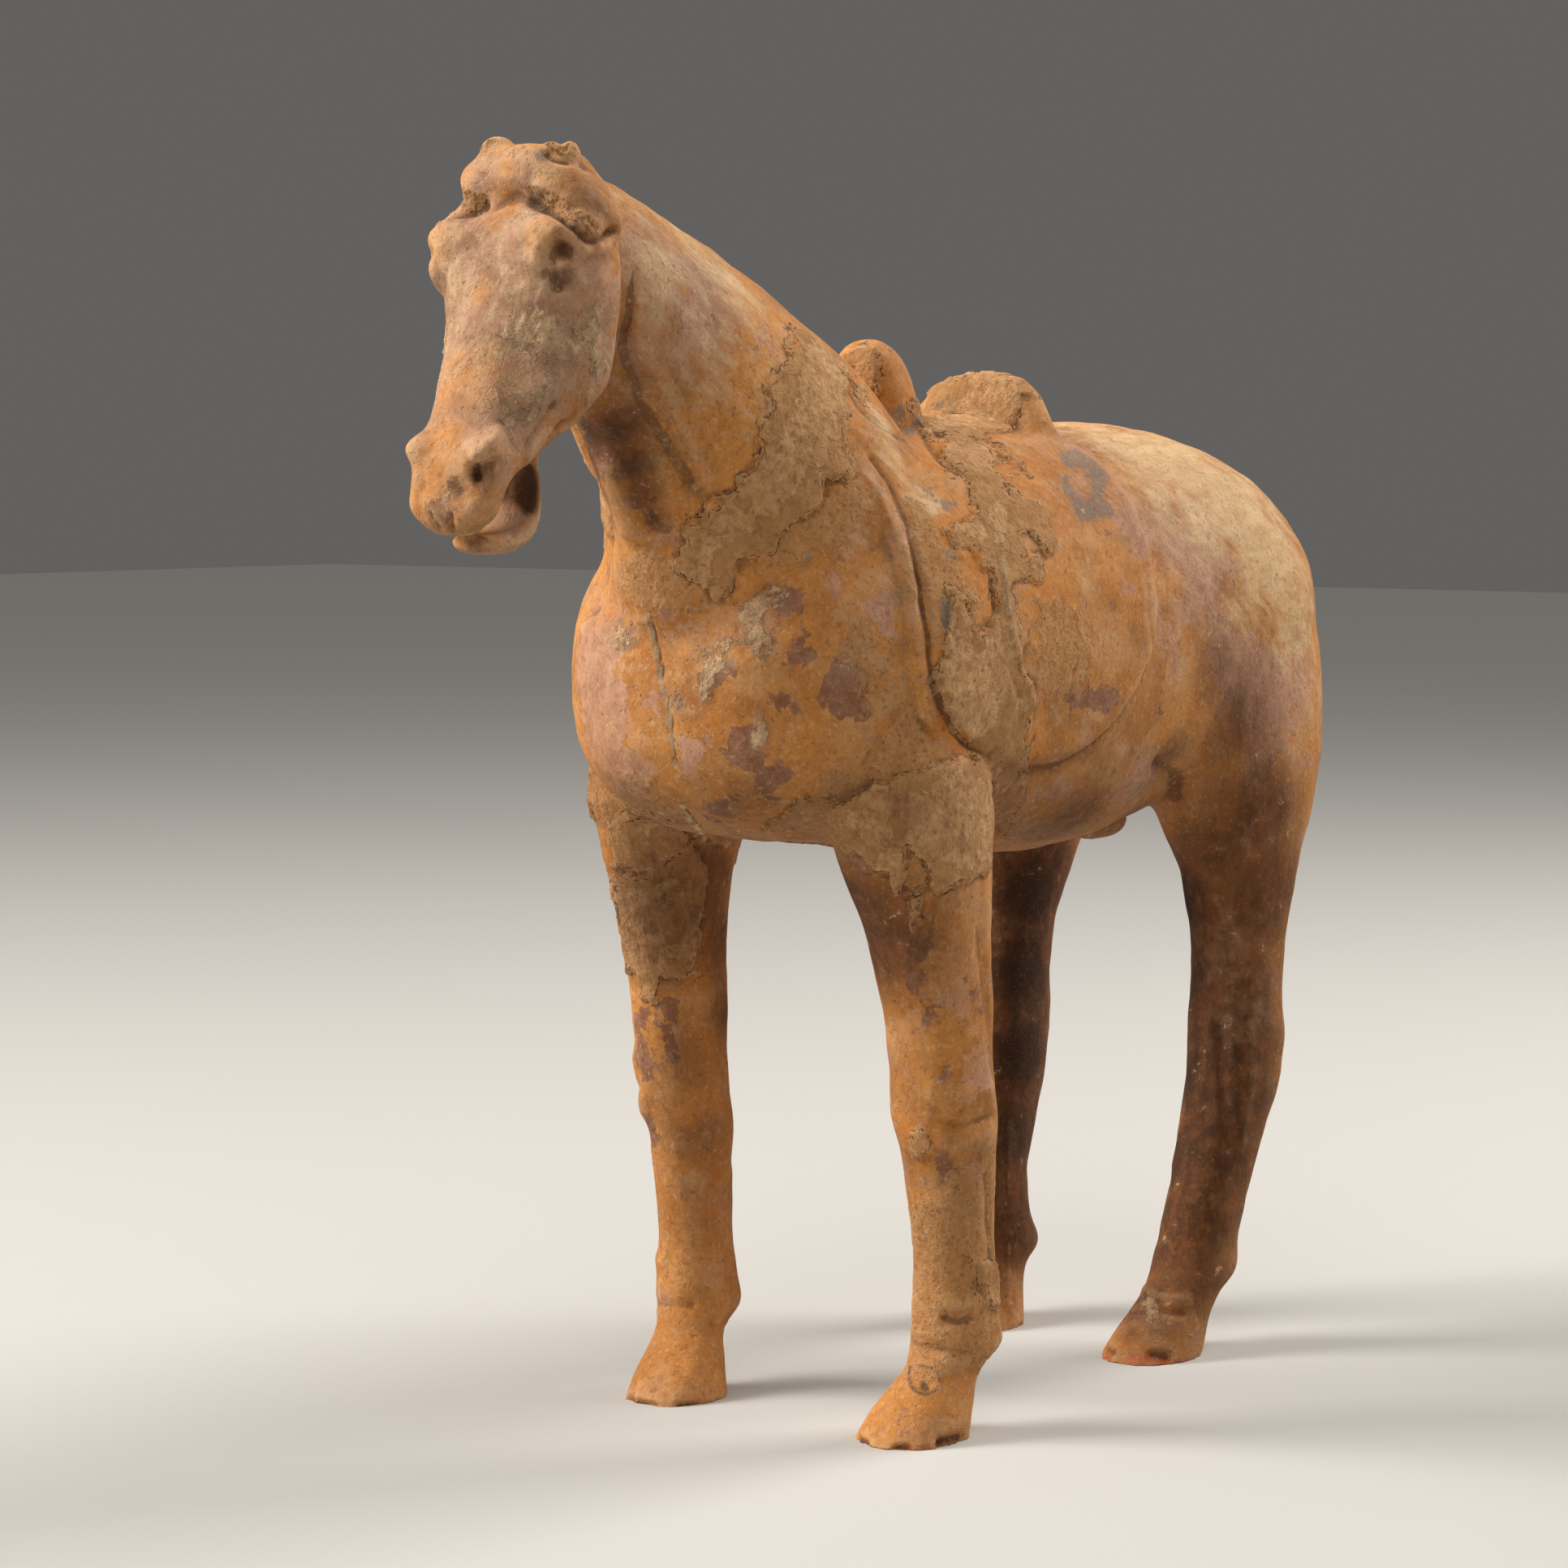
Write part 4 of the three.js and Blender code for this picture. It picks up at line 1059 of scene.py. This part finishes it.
    # Relief too fine for the mesh, in millimetres
    pits = 1 - finish.noise(third, 1.9, 2, 0.5).over(0.26, 0.34)
    height = crust * (0.5 + ragged.swing(0.45) + grains.swing(0.4) + speck.swing(0.4)) + upper * 0.2
    height = height + lime * (0.3 + grains.swing(1.2) + speck.swing(0.4)) + crumbs * 0.2
    height = height + rough * speck.swing(0.9)
    height = height + film * (1 - crust) * (0.12 + grains.swing(0.5) + speck.swing(0.3))
    height = height - (lilac + plum + flaked) * 0.08 - pits * 0.25 - cracks * 0.1
    height = height + brushwork.swing(0.14) + fine.swing(0.08) + ragged.swing(0.3)
    height = height + (grains - 0.5) * (0.22 + dust * 0.25) + dust * ragged.swing(0.3)
    bump = finish.node("Bump", {}, {"Strength": 1.0, "Distance": 0.001, "Height": height})
    shader = finish.node("BsdfPrincipled", {}, {
        "Base Color": paint,
        "Roughness": 0.82 + crust * 0.1,
        "Normal": bump,
        "Specular IOR Level": 0.3,
    })
    finish.node("OutputMaterial", {}, {"Surface": shader})
    return finish.material


def placed(name, data, where):
    """An object in the scene, at a place in metres."""
    made = bpy.data.objects.new(name, data)
    made.location = Vector(where)
    bpy.context.scene.collection.objects.link(made)
    return made


def turned_to(thing, way):
    """Turns a lamp or the camera so that it looks along a direction."""
    thing.rotation_euler = Vector(way).to_track_quat("-Z", "Y").to_euler()


def studio():
    """A plain flat floor, soft lamps, an even sky and the camera."""
    bm = bmesh.new()
    bmesh.ops.create_grid(bm, x_segments=1, y_segments=1, size=6.0)
    mesh = bpy.data.meshes.new("floor")
    bm.to_mesh(mesh)
    bm.free()
    finish = Finish("pale_floor")
    shader = finish.node("BsdfPrincipled", {}, {"Base Color": (0.5, 0.49, 0.47, 1), "Roughness": 0.9})
    finish.node("OutputMaterial", {}, {"Surface": shader})
    mesh.materials.append(finish.material)
    floor = placed("floor", mesh, (0, 0, 0))

    world = bpy.data.worlds.new("studio")
    world.use_nodes = True
    world.node_tree.nodes["Background"].inputs["Color"].default_value = (0.82, 0.80, 0.77, 1)
    world.node_tree.nodes["Background"].inputs["Strength"].default_value = 0.15
    bpy.context.scene.world = world

    lamps_aim = Vector((0, 0, 0.17))
    # Place and size in metres, strength in watts, colour
    lamps = {
        "key": ((-1.3, -1.08, 1.25), 0.8, 46.0, (1.0, 0.96, 0.9)),
        "rear": ((0.55, 1.25, 1.35), 0.8, 30.0, (1.0, 0.96, 0.9)),
        "side": ((0.7, -0.9, 1.7), 1.2, 10.0, (1.0, 0.95, 0.9)),
    }
    for name, (where, size, power, tint) in lamps.items():
        light = bpy.data.lights.new(name, "AREA")
        light.size = size
        light.energy = power
        light.color = tint
        turned_to(placed(name, light, where), lamps_aim - Vector(where))
    sky = bpy.data.lights.new("sky", "SUN")
    sky.energy = 0.8
    sky.angle = math.radians(50)
    sky.color = (1.0, 0.97, 0.92)
    turned_to(placed("sky", sky, (0, 0, 0)), (1.1, 0.9, -1.5))

    data = bpy.data.cameras.new("camera")
    data.sensor_width = sensor
    data.lens = sensor * per_mm * camera_distance / photo_side
    data.clip_start, data.clip_end = 0.05, 30
    camera = placed("camera", data, eye / 1000)
    turned_to(camera, -backward)
    bpy.context.scene.camera = camera
    bpy.context.scene.view_settings.view_transform = "Standard"


studio()
horse = shaped(clay_skin())
horse.data.materials.append(fired_clay())
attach(horse, "root")
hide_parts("horse")
